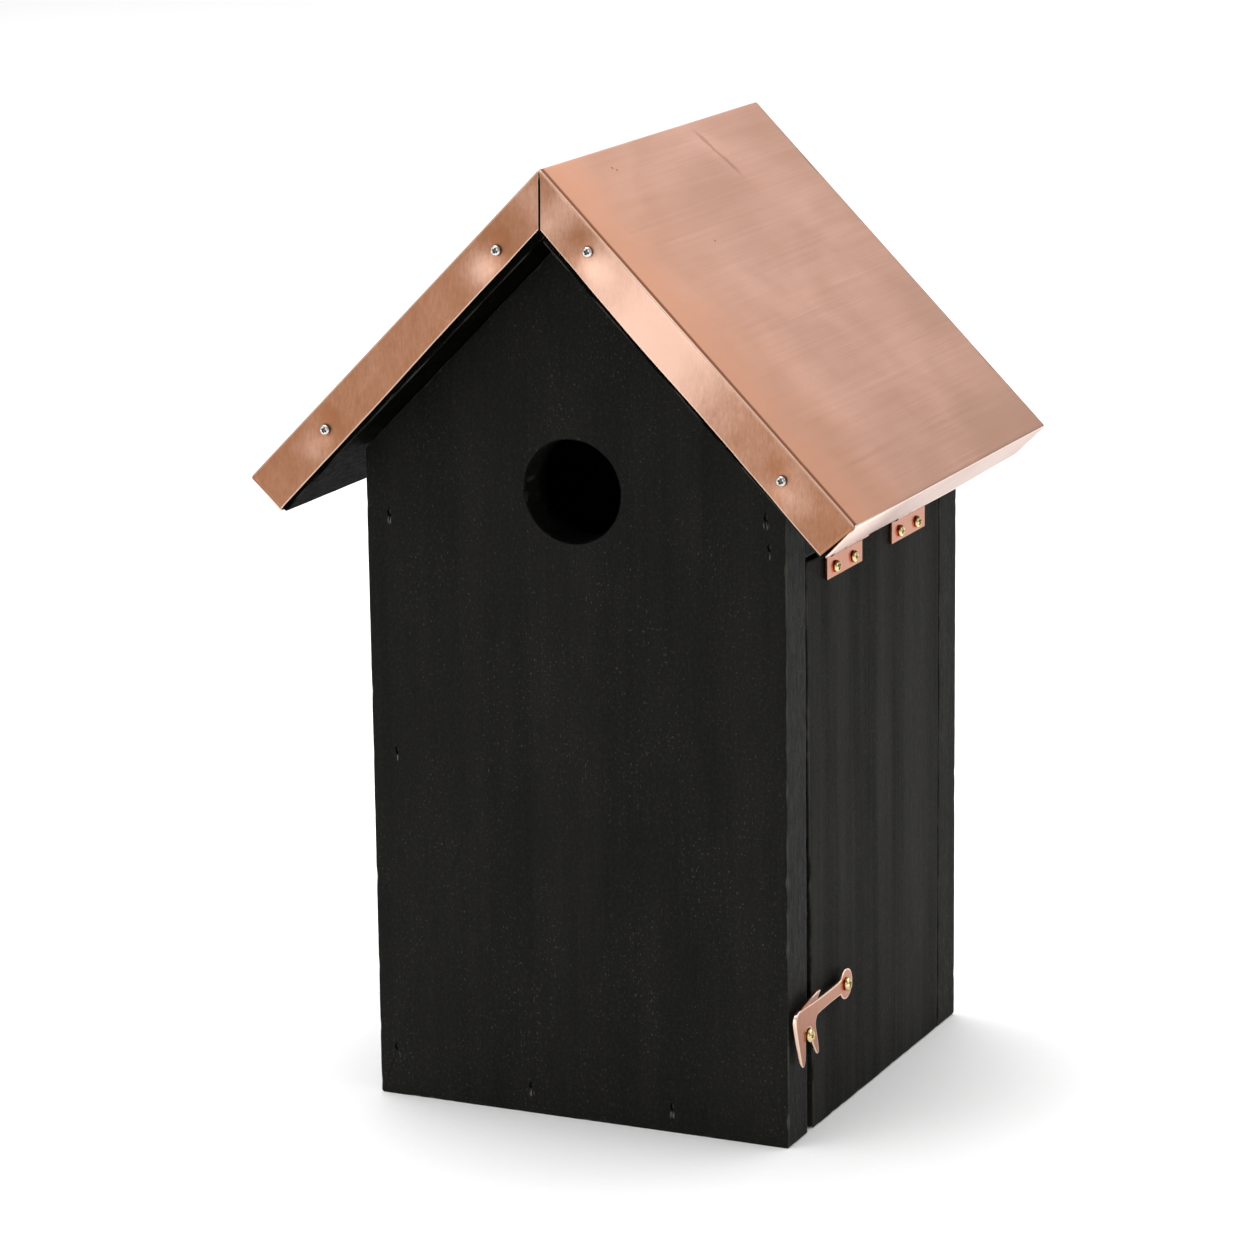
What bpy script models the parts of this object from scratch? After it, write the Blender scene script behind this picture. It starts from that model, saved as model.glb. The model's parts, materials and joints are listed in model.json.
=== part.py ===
"""Gabled nest box: black stained boards, a folded copper roof sheet and a drop-down side door.

Units are metres with +Z up. The origin is under the middle of the body, on the plane it stands on.
The front, with the entrance hole, faces -Y, and the door is on the +X side. Each fastener is modelled
along its own +Z, which points out of the surface that it is driven into.
"""
from math import asin, cos, degrees, pi, radians, sin, sqrt

import bmesh
import bpy
from mathutils import Matrix, Vector

MM = 0.001

# Body
WIDTH = 140.0 * MM
DEPTH = 142.5 * MM
BOARD = 15.0 * MM
JOINT_GAP = 0.2 * MM
ARRIS = 0.6 * MM
ARRIS_STEPS = 2
FRONT = -DEPTH / 2
BACK = DEPTH / 2
SIDE = WIDTH / 2

# Roof, whose two slopes are square to each other
RIDGE_HEIGHT = 300.7 * MM
SLOPE = 141.3 * MM
FLANGE_AT_RIDGE = 12.5 * MM
FLANGE_AT_EAVE = 14.0 * MM
FRONT_OVERHANG = 19.3 * MM
BACK_OVERHANG = 1.5 * MM
SHEET = 0.6 * MM
ROOF_BOARD = 14.5 * MM
BOARD_TOP = SHEET + JOINT_GAP
BOARD_UNDER = BOARD_TOP + ROOF_BOARD
WALL_TOP = BOARD_UNDER + JOINT_GAP
RIDGE_MITRE = 0.8 * MM
CORNER_GAP = 1.3 * MM
ROOF_FRONT = FRONT - FRONT_OVERHANG
ROOF_BACK = BACK + BACK_OVERHANG

# Entrance, drainage and hanging holes
ENTRANCE_RADIUS = 16.0 * MM
ENTRANCE_HEIGHT = 200.0 * MM
DRAIN_RADIUS = 2.5 * MM
DRAIN_SPACING = 60.0 * MM
KEYHOLE_HEIGHT = 236.0 * MM
KEYHOLE_RADIUS = 5.0 * MM
KEYHOLE_SLOT = 2.7 * MM
KEYHOLE_RISE = 13.0 * MM

# Door and the rail over it
DOOR_TOP = 180.3 * MM
DOOR_BOTTOM = 0.3 * MM
DOOR_FRONT_GAP_TOP = 1.1 * MM
DOOR_FRONT_GAP_BOTTOM = 5.2 * MM
DOOR_BACK_GAP = 0.6 * MM
RAIL_BOTTOM = 182.1 * MM

# Butt hinges
HINGE_AXIS_X = SIDE + 1.9 * MM
HINGE_AXIS_Z = 181.2 * MM
HINGE_LENGTH = 28.4 * MM
HINGE_STARTS = {"front": 29.6 * MM, "rear": 83.0 * MM}
LEAF = 1.0 * MM
LEAF_GAP = 0.1 * MM
LEAF_REACH = 8.9 * MM
KNUCKLE_RADIUS = 1.6 * MM
KNUCKLE_CLEARANCE = 0.3 * MM
MIDDLE_KNUCKLE = 9.6 * MM
PIN_RADIUS = 0.8 * MM
PIN_BORE = 0.92 * MM
SCREW_INSET = 7.0 * MM
SCREW_HEIGHT = 6.0 * MM

# Latch hook, in distances back from the front face and up from the ground
HOOK_STAND_OFF = 1.7 * MM
HOOK_THICKNESS = 1.2 * MM
HOOK_EYE = (40.1 * MM, 41.4 * MM)
HOOK_EYE_RADIUS = 4.9 * MM
HOOK_EYE_BORE = 1.55 * MM
CATCH = (9.45 * MM, 34.0 * MM)
SLOT_RADIUS = 2.45 * MM

# Brads: rectangular nails set below the surface
BRAD_HEAD = (1.3 * MM, 2.1 * MM)
BRAD_SHANK = (1.0 * MM, 1.2 * MM)
BRAD_LENGTH = 30.0 * MM
BRAD_SET = 1.0 * MM
BRAD_HOLE_PLAY = 0.4 * MM
WALL_BRADS = (
    (-62.3, 188.9),
    (-61.6, 113.1),
    (-64.2, 15.9),
    (-17.3, 9.1),
    (31.0, 8.3),
    (63.5, 197.0),
    (64.5, 187.9),
)
ROOF_BRAD_SLOPES = (45.0 * MM, 100.0 * MM)

# Round-head screws through the front flange: distance down the slope, then in from its edge
FLANGE_SCREWS = {
    "left": ((28.0, 7.4), (110.8, 6.9)),
    "right": ((27.7, 6.0), (116.3, 7.9)),
}
BACK_FLANGE_SCREWS = ((28.0, 7.0), (113.0, 7.0))
HOLE_PLAY = 0.15 * MM
SIDES = {"left": -1, "right": 1}


def material(name, colour, roughness, metallic):
    """One Principled finish."""
    made = bpy.data.materials.new(name)
    made.use_nodes = True
    shader = made.node_tree.nodes["Principled BSDF"]
    shader.inputs["Base Color"].default_value = (*colour, 1.0)
    shader.inputs["Roughness"].default_value = roughness
    shader.inputs["Metallic"].default_value = metallic
    made.diffuse_color = (*colour, 1.0)
    return made


def clear_scene():
    for old in list(bpy.data.objects):
        bpy.data.objects.remove(old)


def add(name, bm, finish=None, origin=(0, 0, 0), parent=None, smooth=False):
    """Turn a mesh drawn in place into an object whose origin lies at a chosen point."""
    bmesh.ops.recalc_face_normals(bm, faces=bm.faces)
    mesh = bpy.data.meshes.new(name)
    bm.to_mesh(mesh)
    bm.free()
    mesh.transform(Matrix.Translation(-Vector(origin)))
    if smooth:
        mesh.shade_smooth()
        mesh.set_sharp_from_angle(angle=radians(35))
    thing = bpy.data.objects.new(name, mesh)
    bpy.context.collection.objects.link(thing)
    thing.location = Vector(origin) - (Vector(parent["at"]) if parent else Vector())
    if parent:
        thing.parent = parent
    if finish:
        mesh.materials.append(finish)
    return thing


def pivot(name, at, parent=None):
    """An empty on a joint's axis, which carries what turns with it."""
    empty = bpy.data.objects.new(name, None)
    bpy.context.collection.objects.link(empty)
    empty["at"] = at
    empty.location = Vector(at) - (Vector(parent["at"]) if parent else Vector())
    empty.parent = parent
    return empty


def helper(name, bm):
    """A shape that only cuts or joins another, and is no piece itself."""
    thing = add(name, bm)
    thing.hide_render = True
    thing.display_type = "WIRE"
    return thing


def boolean(thing, other, operation="DIFFERENCE"):
    step = thing.modifiers.new(other.name, "BOOLEAN")
    step.object = other
    step.operation = operation
    step.solver = "EXACT"


def ease_edges(thing):
    """Break the arrises, as sanding does."""
    step = thing.modifiers.new("arris", "BEVEL")
    step.width = ARRIS
    step.segments = ARRIS_STEPS
    step.limit_method = "ANGLE"


def slab(outline, along):
    """A flat outline of 3-D points, carried along a vector."""
    bm = bmesh.new()
    face = bm.faces.new([bm.verts.new(point) for point in outline])
    made = bmesh.ops.extrude_face_region(bm, geom=[face])["geom"]
    moved = [item for item in made if isinstance(item, bmesh.types.BMVert)]
    bmesh.ops.translate(bm, verts=moved, vec=along)
    return bm


def loft(rings):
    """A closed solid through rings that all have the same number of points."""
    bm = bmesh.new()
    rows = [[bm.verts.new(point) for point in ring] for ring in rings]
    for low, high in zip(rows, rows[1:]):
        for i in range(len(low)):
            j = (i + 1) % len(low)
            bm.faces.new((low[i], low[j], high[j], high[i]))
    bm.faces.new(rows[0])
    bm.faces.new(rows[-1])
    return bm


def turned(profile, steps):
    """A profile of radius and height, from pole to pole, spun about the Z axis."""
    bm = bmesh.new()
    points = [bm.verts.new((radius, 0, height)) for radius, height in profile]
    edges = [bm.edges.new(pair) for pair in zip(points, points[1:])]
    bmesh.ops.spin(
        bm, geom=points + edges, cent=(0, 0, 0), axis=(0, 0, 1), angle=2 * pi, steps=steps
    )
    bmesh.ops.remove_doubles(bm, verts=bm.verts, dist=0.001 * MM)
    return bm


def facing(point, outward):
    """The placement that puts local +Z along an outward direction at a point."""
    turn = Vector(outward).to_track_quat("Z", "Y").to_matrix().to_4x4()
    return Matrix.Translation(point) @ turn


def bores(name, places, radius, depth, sides=12):
    """Round holes, drilled inwards from points on the surface."""
    bm = bmesh.new()
    for point, outward in places:
        middle = Matrix.Translation((0, 0, MM - (depth + MM) / 2))
        bmesh.ops.create_cone(
            bm,
            cap_ends=True,
            segments=sides,
            radius1=radius,
            radius2=radius,
            depth=depth + MM,
            matrix=facing(point, outward) @ middle,
        )
    return helper(name, bm)


def brad_holes(name, places):
    """Rectangular holes, a little larger than a brad's head."""
    bm = bmesh.new()
    across = BRAD_HEAD[0] + BRAD_HOLE_PLAY
    up = BRAD_HEAD[1] + BRAD_HOLE_PLAY
    depth = BRAD_SET + BRAD_LENGTH + 2 * MM
    for point, outward in places:
        middle = Matrix.Translation((0, 0, MM - depth / 2))
        size = Matrix.Diagonal((across, up, depth, 1))
        bmesh.ops.create_cube(bm, size=1, matrix=facing(point, outward) @ middle @ size)
    return helper(name, bm)


def roof_point(side, down, inwards, y):
    """A point by its distance down the slope and its depth below the outer surface."""
    x = SIDES[side] * (down - inwards) / sqrt(2)
    return Vector((x, y, RIDGE_HEIGHT - (down + inwards) / sqrt(2)))


def wall_top(x):
    """Where the walls stop under the roof boards."""
    return RIDGE_HEIGHT - WALL_TOP * sqrt(2) - abs(x)


def arc(centre, radius, start, end, steps):
    """Points along an arc, with its angles in degrees from the first axis."""
    angles = [radians(start + (end - start) * i / steps) for i in range(steps + 1)]
    return [(centre[0] + radius * cos(a), centre[1] + radius * sin(a)) for a in angles]


def gable_outline(y):
    corner = wall_top(SIDE)
    points = ((-SIDE, 0), (SIDE, 0), (SIDE, corner), (0, wall_top(0)), (-SIDE, corner))
    return [(x, y, z) for x, z in points]


def gable_panels(wood):
    """Front and back walls, with the entrance in one and a hanging keyhole in the other."""
    front = add("front_panel", slab(gable_outline(FRONT), (0, BOARD, 0)), wood)
    back = add("back_panel", slab(gable_outline(BACK), (0, -BOARD, 0)), wood)
    entrance = [((0, FRONT, ENTRANCE_HEIGHT), (0, -1, 0))]
    boolean(front, bores("entrance_cut", entrance, ENTRANCE_RADIUS, BOARD + MM, 56))
    slot_rest = KEYHOLE_HEIGHT + KEYHOLE_RISE
    neck = degrees(asin(KEYHOLE_SLOT / KEYHOLE_RADIUS))
    round_part = arc((0, KEYHOLE_HEIGHT), KEYHOLE_RADIUS, 90 + neck, 450 - neck, 20)
    slot_part = arc((0, slot_rest), KEYHOLE_SLOT, 0, 180, 8)
    outline = [(x, BACK + MM, z) for x, z in round_part + slot_part]
    boolean(back, helper("keyhole_cut", slab(outline, (0, -BOARD - 2 * MM, 0))))
    ease_edges(front)
    ease_edges(back)
    return front, back


def side_boards(wood):
    """The fixed left wall, the floor, and the rail that closes the wall over the door."""
    start = FRONT + BOARD + JOINT_GAP
    length = DEPTH - 2 * BOARD - 2 * JOINT_GAP
    inner = SIDE - BOARD

    def between_gables(name, points):
        board = slab([(x, start, z) for x, z in points], (0, length, 0))
        made = add(name, board, wood)
        ease_edges(made)
        return made

    left_points = (
        (-SIDE, 0),
        (-inner, 0),
        (-inner, wall_top(inner)),
        (-SIDE, wall_top(SIDE)),
    )
    left = between_gables("left_side_panel", left_points)
    floor_edge = inner - JOINT_GAP
    floor_points = ((-floor_edge, 0), (floor_edge, 0), (floor_edge, BOARD), (-floor_edge, BOARD))
    floor = between_gables("floor_panel", floor_points)
    rail_points = (
        (inner, RAIL_BOTTOM),
        (SIDE, RAIL_BOTTOM),
        (SIDE, wall_top(SIDE)),
        (inner, wall_top(inner)),
    )
    rail = between_gables("door_top_rail", rail_points)
    half = DRAIN_SPACING / 2
    drains = [((x, y, 0), (0, 0, -1)) for x in (-half, half) for y in (-half, half)]
    boolean(floor, bores("drain_cut", drains, DRAIN_RADIUS, BOARD + MM))
    return left, floor, rail


def roof_boards(wood):
    """Two boards that meet in a lap at the ridge: the right one butts under the left one."""
    start = ROOF_FRONT + BOARD_TOP
    length = ROOF_BACK - BOARD_TOP - start
    low = SLOPE - BOARD_TOP
    made = []
    for side, high in (("left", BOARD_TOP), ("right", BOARD_UNDER + JOINT_GAP)):
        corners = ((high, BOARD_TOP), (low, BOARD_TOP), (low, BOARD_UNDER), (high, BOARD_UNDER))
        outline = [roof_point(side, down, inwards, start) for down, inwards in corners]
        board = add("roof_board_" + side, slab(outline, (0, length, 0)), wood)
        ease_edges(board)
        made.append(board)
    return made


def roof_sheet(copper):
    """One sheet folded at the ridge and turned down all round, with open mitres at its corners."""
    bm = bmesh.new()

    def corner(*place):
        return bm.verts.new(roof_point(*place))

    ridge = {y: corner("right", 0, 0, y) for y in (ROOF_FRONT, ROOF_BACK)}
    for side in SIDES:
        eave = {y: corner(side, SLOPE, 0, y) for y in (ROOF_FRONT, ROOF_BACK)}
        front, back = ROOF_FRONT, ROOF_BACK
        bm.faces.new((ridge[front], eave[front], eave[back], ridge[back]))
        for y in (front, back):
            valley = corner(side, FLANGE_AT_RIDGE + RIDGE_MITRE / sqrt(2), FLANGE_AT_RIDGE, y)
            end = corner(side, SLOPE - CORNER_GAP, FLANGE_AT_EAVE, y)
            bm.faces.new((ridge[y], valley, end, eave[y]))
        low_front = corner(side, SLOPE, FLANGE_AT_EAVE, front + CORNER_GAP)
        low_back = corner(side, SLOPE, FLANGE_AT_EAVE, back - CORNER_GAP)
        bm.faces.new((eave[front], low_front, low_back, eave[back]))
    sheet = add("roof_copper_sheet", bm, copper)
    wall = sheet.modifiers.new("thickness", "SOLIDIFY")
    wall.thickness = SHEET
    wall.offset = -1
    wall.use_even_offset = True
    return sheet


def door(wood, carrier):
    """The door hangs from its top edge. Its front edge is cut a little out of square."""
    back_edge = BACK - BOARD - DOOR_BACK_GAP
    front_top = FRONT + BOARD + DOOR_FRONT_GAP_TOP
    front_bottom = FRONT + BOARD + DOOR_FRONT_GAP_BOTTOM
    points = (
        (front_bottom, DOOR_BOTTOM),
        (back_edge, DOOR_BOTTOM),
        (back_edge, DOOR_TOP),
        (front_top, DOOR_TOP),
    )
    outline = [(SIDE, y, z) for y, z in points]
    panel = slab(outline, (-BOARD, 0, 0))
    made = add("door_panel", panel, wood, origin=carrier["at"], parent=carrier)
    ease_edges(made)
    return made


def box(x_range, y_range, z_range):
    low_ring = [(x, y, z_range[0]) for x, y in corners_of(x_range, y_range)]
    high_ring = [(x, y, z_range[1]) for x, y in corners_of(x_range, y_range)]
    return loft([low_ring, high_ring])


def corners_of(first, second):
    return (
        (first[0], second[0]),
        (first[1], second[0]),
        (first[1], second[1]),
        (first[0], second[1]),
    )


def rod(start, end, radius, sides=20):
    """A round bar between two points on the hinge axis."""
    rings = []
    for y in (start, end):
        circle = arc((HINGE_AXIS_X, HINGE_AXIS_Z), radius, 0, 360, sides)[:-1]
        rings.append([(x, y, z) for x, z in circle])
    return loft(rings)


def hinge(where, copper, carrier, screw_holes):
    """A surface butt hinge: the fixed leaf has the outer knuckles, the door leaf the middle one."""
    start = FRONT + HINGE_STARTS[where]
    end = start + HINGE_LENGTH
    middle = (start + end) / 2
    cut = KNUCKLE_CLEARANCE / 2
    mid_from = middle - MIDDLE_KNUCKLE / 2
    mid_to = middle + MIDDLE_KNUCKLE / 2
    plate_x = (SIDE + LEAF_GAP, SIDE + LEAF_GAP + LEAF)
    clear = KNUCKLE_RADIUS + KNUCKLE_CLEARANCE
    bore = helper("pin_bore_" + where, rod(start - MM, end + MM, PIN_BORE))

    door_low = HINGE_AXIS_Z - LEAF_REACH
    door_plate = box(plate_x, (start, end), (door_low, HINGE_AXIS_Z - clear))
    origin = (HINGE_AXIS_X, middle, HINGE_AXIS_Z)
    name = "hinge_" + where + "_door_leaf"
    door_leaf = add(name, door_plate, copper, origin=origin, parent=carrier)
    tongue = (mid_from + cut, mid_to - cut)
    web = box(plate_x, tongue, (HINGE_AXIS_Z - clear - MM, HINGE_AXIS_Z))
    parts = [helper("door_web_" + where, web)]
    parts.append(helper("door_knuckle_" + where, rod(*tongue, KNUCKLE_RADIUS)))

    fixed_plate = box(plate_x, (start, end), (HINGE_AXIS_Z + clear, HINGE_AXIS_Z + LEAF_REACH))
    fixed_leaf = add("hinge_" + where + "_fixed_leaf", fixed_plate, copper, origin=origin)
    fixed_parts = []
    for place, reach in (("a", (start, mid_from - cut)), ("b", (mid_to + cut, end))):
        web = box(plate_x, reach, (HINGE_AXIS_Z, HINGE_AXIS_Z + clear + MM))
        fixed_parts.append(helper("fixed_web_" + where + place, web))
        fixed_parts.append(helper("fixed_knuckle_" + where + place, rod(*reach, KNUCKLE_RADIUS)))

    for leaf, joined in ((door_leaf, parts), (fixed_leaf, fixed_parts)):
        for piece in joined:
            boolean(leaf, piece, "UNION")
        boolean(leaf, bore)
        boolean(leaf, screw_holes)
    add("hinge_" + where + "_pin", rod(start, end, PIN_RADIUS), copper, origin=origin, smooth=True)


def hinge_screw_places():
    """Both screws of each leaf: the door's below the axis, the rail's above it."""
    places = {}
    for where, first in HINGE_STARTS.items():
        for part, direction in (("door", -1), ("fixed", 1)):
            z = HINGE_AXIS_Z + direction * SCREW_HEIGHT
            for number, along in ((1, SCREW_INSET), (2, HINGE_LENGTH - SCREW_INSET)):
                point = (SIDE + LEAF_GAP + LEAF, FRONT + first + along, z)
                places["hinge_{}_{}_screw_{}".format(where, part, number)] = point
    return places


def hook_outline():
    """The latch hook's outline, anticlockwise from the eye: arm, elbow, and fork over the catch."""
    eye = arc(HOOK_EYE, HOOK_EYE_RADIUS, -154, 154, 18)
    elbow = [(17.0, 43.3), (2.6, 43.9), (0.4, 43.2), (-0.7, 41.8), (-0.9, 39.6)]
    front_prong = [(3.7, 26.0), (4.3, 25.2), (5.5, 25.0), (6.6, 25.7), (7.0, 27.2)]
    slot = arc(CATCH, SLOT_RADIUS, 180, 0, 10)
    back_prong = [(11.9, 31.0), (14.8, 27.2), (15.7, 26.2), (16.9, 25.9), (17.9, 26.7)]
    inner_elbow = [(15.5, 33.7), (14.9, 35.9), (15.5, 37.7), (17.0, 38.8)]
    by_hand = [[(a * MM, b * MM) for a, b in run] for run in (elbow, front_prong, back_prong)]
    close = [(a * MM, b * MM) for a, b in inner_elbow]
    return eye + by_hand[0] + by_hand[1] + slot + by_hand[2] + close


def latch(copper, carrier):
    """A flat swing hook that stands off the wood, with a thumb lip turned out along its top."""
    inner_x = SIDE + HOOK_STAND_OFF
    outline = [(inner_x, FRONT + y, z) for y, z in hook_outline()]
    plate = slab(outline, (HOOK_THICKNESS, 0, 0))
    hook = add("latch_hook", plate, copper, origin=carrier["at"], parent=carrier, smooth=True)
    lip_rows = (
        (42.2, 3.0, 17.0, 0.0),
        (43.4, 2.2, 17.6, 0.0),
        (46.9, 13.0, 17.2, 1.2),
    )
    rings = []
    for z, first, last, lean in lip_rows:
        near = inner_x + lean * MM
        far = near + HOOK_THICKNESS - 0.1 * MM
        ring = corners_of((near + 0.05 * MM, far), (FRONT + first * MM, FRONT + last * MM))
        rings.append([(x, y, z * MM) for x, y in ring])
    boolean(hook, helper("thumb_lip", loft(rings)), "UNION")
    eye = [((inner_x + HOOK_THICKNESS, FRONT + HOOK_EYE[0], HOOK_EYE[1]), (1, 0, 0))]
    boolean(hook, bores("eye_cut", eye, HOOK_EYE_BORE, HOOK_THICKNESS + 0.5 * MM, 20))
    return hook


def screw_profile(head_radius, head_height, shank_radius, length, shoulder=None):
    """A domed head over a plain shank with a point, and a shoulder where one is needed."""
    dome = [
        (head_radius * sin(a), head_height * cos(a))
        for a in (radians(step) for step in (0, 28, 52, 74))
    ]
    rim = [(head_radius, 0.15 * head_height), (head_radius, 0)]
    neck = [(shank_radius, 0)]
    if shoulder:
        radius, top, bottom = shoulder
        neck += [(shank_radius, top), (radius, top), (radius, bottom), (shank_radius, bottom)]
    point = [(shank_radius, -length + 2 * shank_radius), (0, -length)]
    return dome + rim + neck + point


def drive(name, mesh_source, point, outward, finish, parent=None):
    """Place a fastener that shares the mesh of its kind."""
    made = bpy.data.objects.new(name, mesh_source)
    bpy.context.collection.objects.link(made)
    place = facing(point, outward)
    made.rotation_mode = "QUATERNION"
    made.rotation_quaternion = place.to_quaternion()
    made.location = Vector(point) - (Vector(parent["at"]) if parent else Vector())
    made.parent = parent
    if not mesh_source.materials:
        mesh_source.materials.append(finish)
    return made


def mesh_of(name, bm, smooth=True):
    """A mesh that several fasteners share."""
    bmesh.ops.recalc_face_normals(bm, faces=bm.faces)
    mesh = bpy.data.meshes.new(name)
    bm.to_mesh(mesh)
    bm.free()
    if smooth:
        mesh.shade_smooth()
        mesh.set_sharp_from_angle(angle=radians(35))
    return mesh


def brad_mesh():
    """A brad, from its head down: head, shank and chisel point."""
    head_depth = 0.9 * MM
    tip = 0.3
    rows = (
        (0, BRAD_HEAD, 1),
        (-head_depth, BRAD_HEAD, 1),
        (-head_depth - 0.1 * MM, BRAD_SHANK, 1),
        (-BRAD_LENGTH + 2 * MM, BRAD_SHANK, 1),
        (-BRAD_LENGTH, BRAD_SHANK, tip),
    )
    rings = []
    for z, (across, up), scale in rows:
        half_x = across * scale / 2
        half_y = up * scale / 2
        ring = corners_of((-half_x, half_x), (-half_y, half_y))
        rings.append([(x, y, z) for x, y in ring])
    return mesh_of("brad", loft(rings), smooth=False)


def wall_brad_places(y, outward):
    return [((x * MM, y, z * MM), outward) for x, z in WALL_BRADS]


def roof_brad_places():
    """Where the roof boards are nailed down into the edges of the front and back walls."""
    places = []
    for side, direction in SIDES.items():
        for y in (FRONT + BOARD / 2, BACK - BOARD / 2):
            for down in ROOF_BRAD_SLOPES:
                point = roof_point(side, down, BOARD_TOP, y)
                places.append((point, (direction, 0, 1)))
    return places


def flange_screw_places():
    places = {}
    for side in SIDES:
        for number, (down, inwards) in enumerate(FLANGE_SCREWS[side], 1):
            point = roof_point(side, down * MM, inwards * MM, ROOF_FRONT)
            places["roof_front_{}_screw_{}".format(side, number)] = (point, (0, -1, 0))
        for number, (down, inwards) in enumerate(BACK_FLANGE_SCREWS, 1):
            point = roof_point(side, down * MM, inwards * MM, ROOF_BACK)
            places["roof_rear_{}_screw_{}".format(side, number)] = (point, (0, 1, 0))
    return places


def nail_together(front, back, inner_boards, roof, steel):
    """Brads through both gable walls into the boards between them, and through the roof boards."""
    brad = brad_mesh()
    sets = {
        "front_brad": (wall_brad_places(FRONT, (0, -1, 0)), [front, *inner_boards]),
        "back_brad": (wall_brad_places(BACK, (0, 1, 0)), [back, *inner_boards]),
        "roof_brad": (roof_brad_places(), [front, back, *roof]),
    }
    for name, (places, boards) in sets.items():
        holes = brad_holes(name + "_holes", places)
        for board in boards:
            boolean(board, holes)
        for number, (point, outward) in enumerate(places, 1):
            sunk = Vector(point) - Vector(outward).normalized() * BRAD_SET
            drive("{}_{}".format(name, number), brad, sunk, outward, steel)


def screw_roof(roof, sheet, steel):
    """Small round-head screws that hold the sheet's front and rear flanges to the roof boards."""
    shank = 0.9 * MM
    length = 11.0 * MM
    steps = 14
    profile = screw_profile(1.6 * MM, 1.0 * MM, shank, length)
    mesh = mesh_of("flange_screw", turned(profile, steps))
    places = flange_screw_places()
    holes = bores("flange_screw_holes", places.values(), shank + HOLE_PLAY, length + MM)
    for cut in (*roof, sheet):
        boolean(cut, holes)
    for name, (point, outward) in places.items():
        lifted = Vector(point) + Vector(outward) * 0.5 * JOINT_GAP
        drive(name, mesh, lifted, outward, steel)


def screw_hinges(brass, door_board, rail, carrier):
    """Round-head screws through both leaves of each hinge. Gives back their holes."""
    shank = 1.0 * MM
    length = 12.0 * MM
    steps = 16
    mesh = mesh_of("hinge_screw", turned(screw_profile(1.9 * MM, 1.25 * MM, shank, length), steps))
    places = hinge_screw_places()
    outward = (1, 0, 0)
    spots = [(point, outward) for point in places.values()]
    holes = bores("hinge_screw_holes", spots, shank + HOLE_PLAY, length + MM)
    boolean(door_board, holes)
    boolean(rail, holes)
    for name, point in places.items():
        lifted = Vector(point) + Vector(outward) * 0.5 * JOINT_GAP
        drive(name, mesh, lifted, outward, brass, carrier if "_door_" in name else None)
    return holes


def screw_latch(brass, door_board, front, carrier):
    """The hook's shouldered pivot screw, and the catch screw that its fork drops over."""
    lift = HOOK_STAND_OFF + HOOK_THICKNESS + 0.15 * MM
    outward = (1, 0, 0)
    shank = 1.4 * MM
    grip = 13.0 * MM
    spots = {
        "latch_pivot_screw": (HOOK_EYE, 2.1 * MM, carrier, door_board, True),
        "latch_catch_screw": (CATCH, 2.2 * MM, None, front, False),
    }
    for name, (place, head, parent, board, shouldered) in spots.items():
        under_plate = -HOOK_THICKNESS - 0.3 * MM
        shoulder = (2.4 * MM, under_plate, 0.1 * MM - lift) if shouldered else None
        profile = screw_profile(head, 1.5 * MM, shank, lift + grip, shoulder)
        mesh = mesh_of(name, turned(profile, 18))
        surface = Vector((SIDE, FRONT + place[0], place[1]))
        bore = bores(name + "_hole", [(surface, outward)], shank + HOLE_PLAY, grip + MM)
        boolean(board, bore)
        drive(name, mesh, surface + Vector(outward) * lift, outward, brass, parent)


def build():
    clear_scene()
    wood = material("black_stained_wood", (0.020, 0.020, 0.018), 0.75, 0.0)
    copper = material("brushed_copper", (0.70, 0.40, 0.29), 0.32, 1.0)
    brass = material("brass", (0.80, 0.62, 0.34), 0.25, 1.0)
    steel = material("zinc_plated_steel", (0.62, 0.61, 0.60), 0.35, 1.0)

    door_pivot = pivot("door_axis", (HINGE_AXIS_X, 0, HINGE_AXIS_Z))
    hook_x = SIDE + HOOK_STAND_OFF
    latch_pivot = pivot("latch_axis", (hook_x, FRONT + HOOK_EYE[0], HOOK_EYE[1]), door_pivot)

    front, back = gable_panels(wood)
    inner_boards = side_boards(wood)
    rail = inner_boards[2]
    roof = roof_boards(wood)
    sheet = roof_sheet(copper)
    door_board = door(wood, door_pivot)

    nail_together(front, back, inner_boards, roof, steel)
    screw_roof(roof, sheet, steel)
    hinge_holes = screw_hinges(brass, door_board, rail, door_pivot)
    for where in HINGE_STARTS:
        hinge(where, copper, door_pivot, hinge_holes)
    screw_latch(brass, door_board, front, door_pivot)
    latch(copper, latch_pivot)
    bpy.context.view_layer.update()


build()
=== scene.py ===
"""The nest box finished for close viewing: stained boards, a folded copper roof, hinges and a hook.

Sizes and places come from the frame. Every new piece is a surface worked out as whole arrays, in
place and in metres, and every finish is a node material on object coordinates.
"""
import json
from math import cos, radians, sin, sqrt

import bmesh
import bpy
import numpy as np
from mathutils import Matrix, Vector

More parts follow.
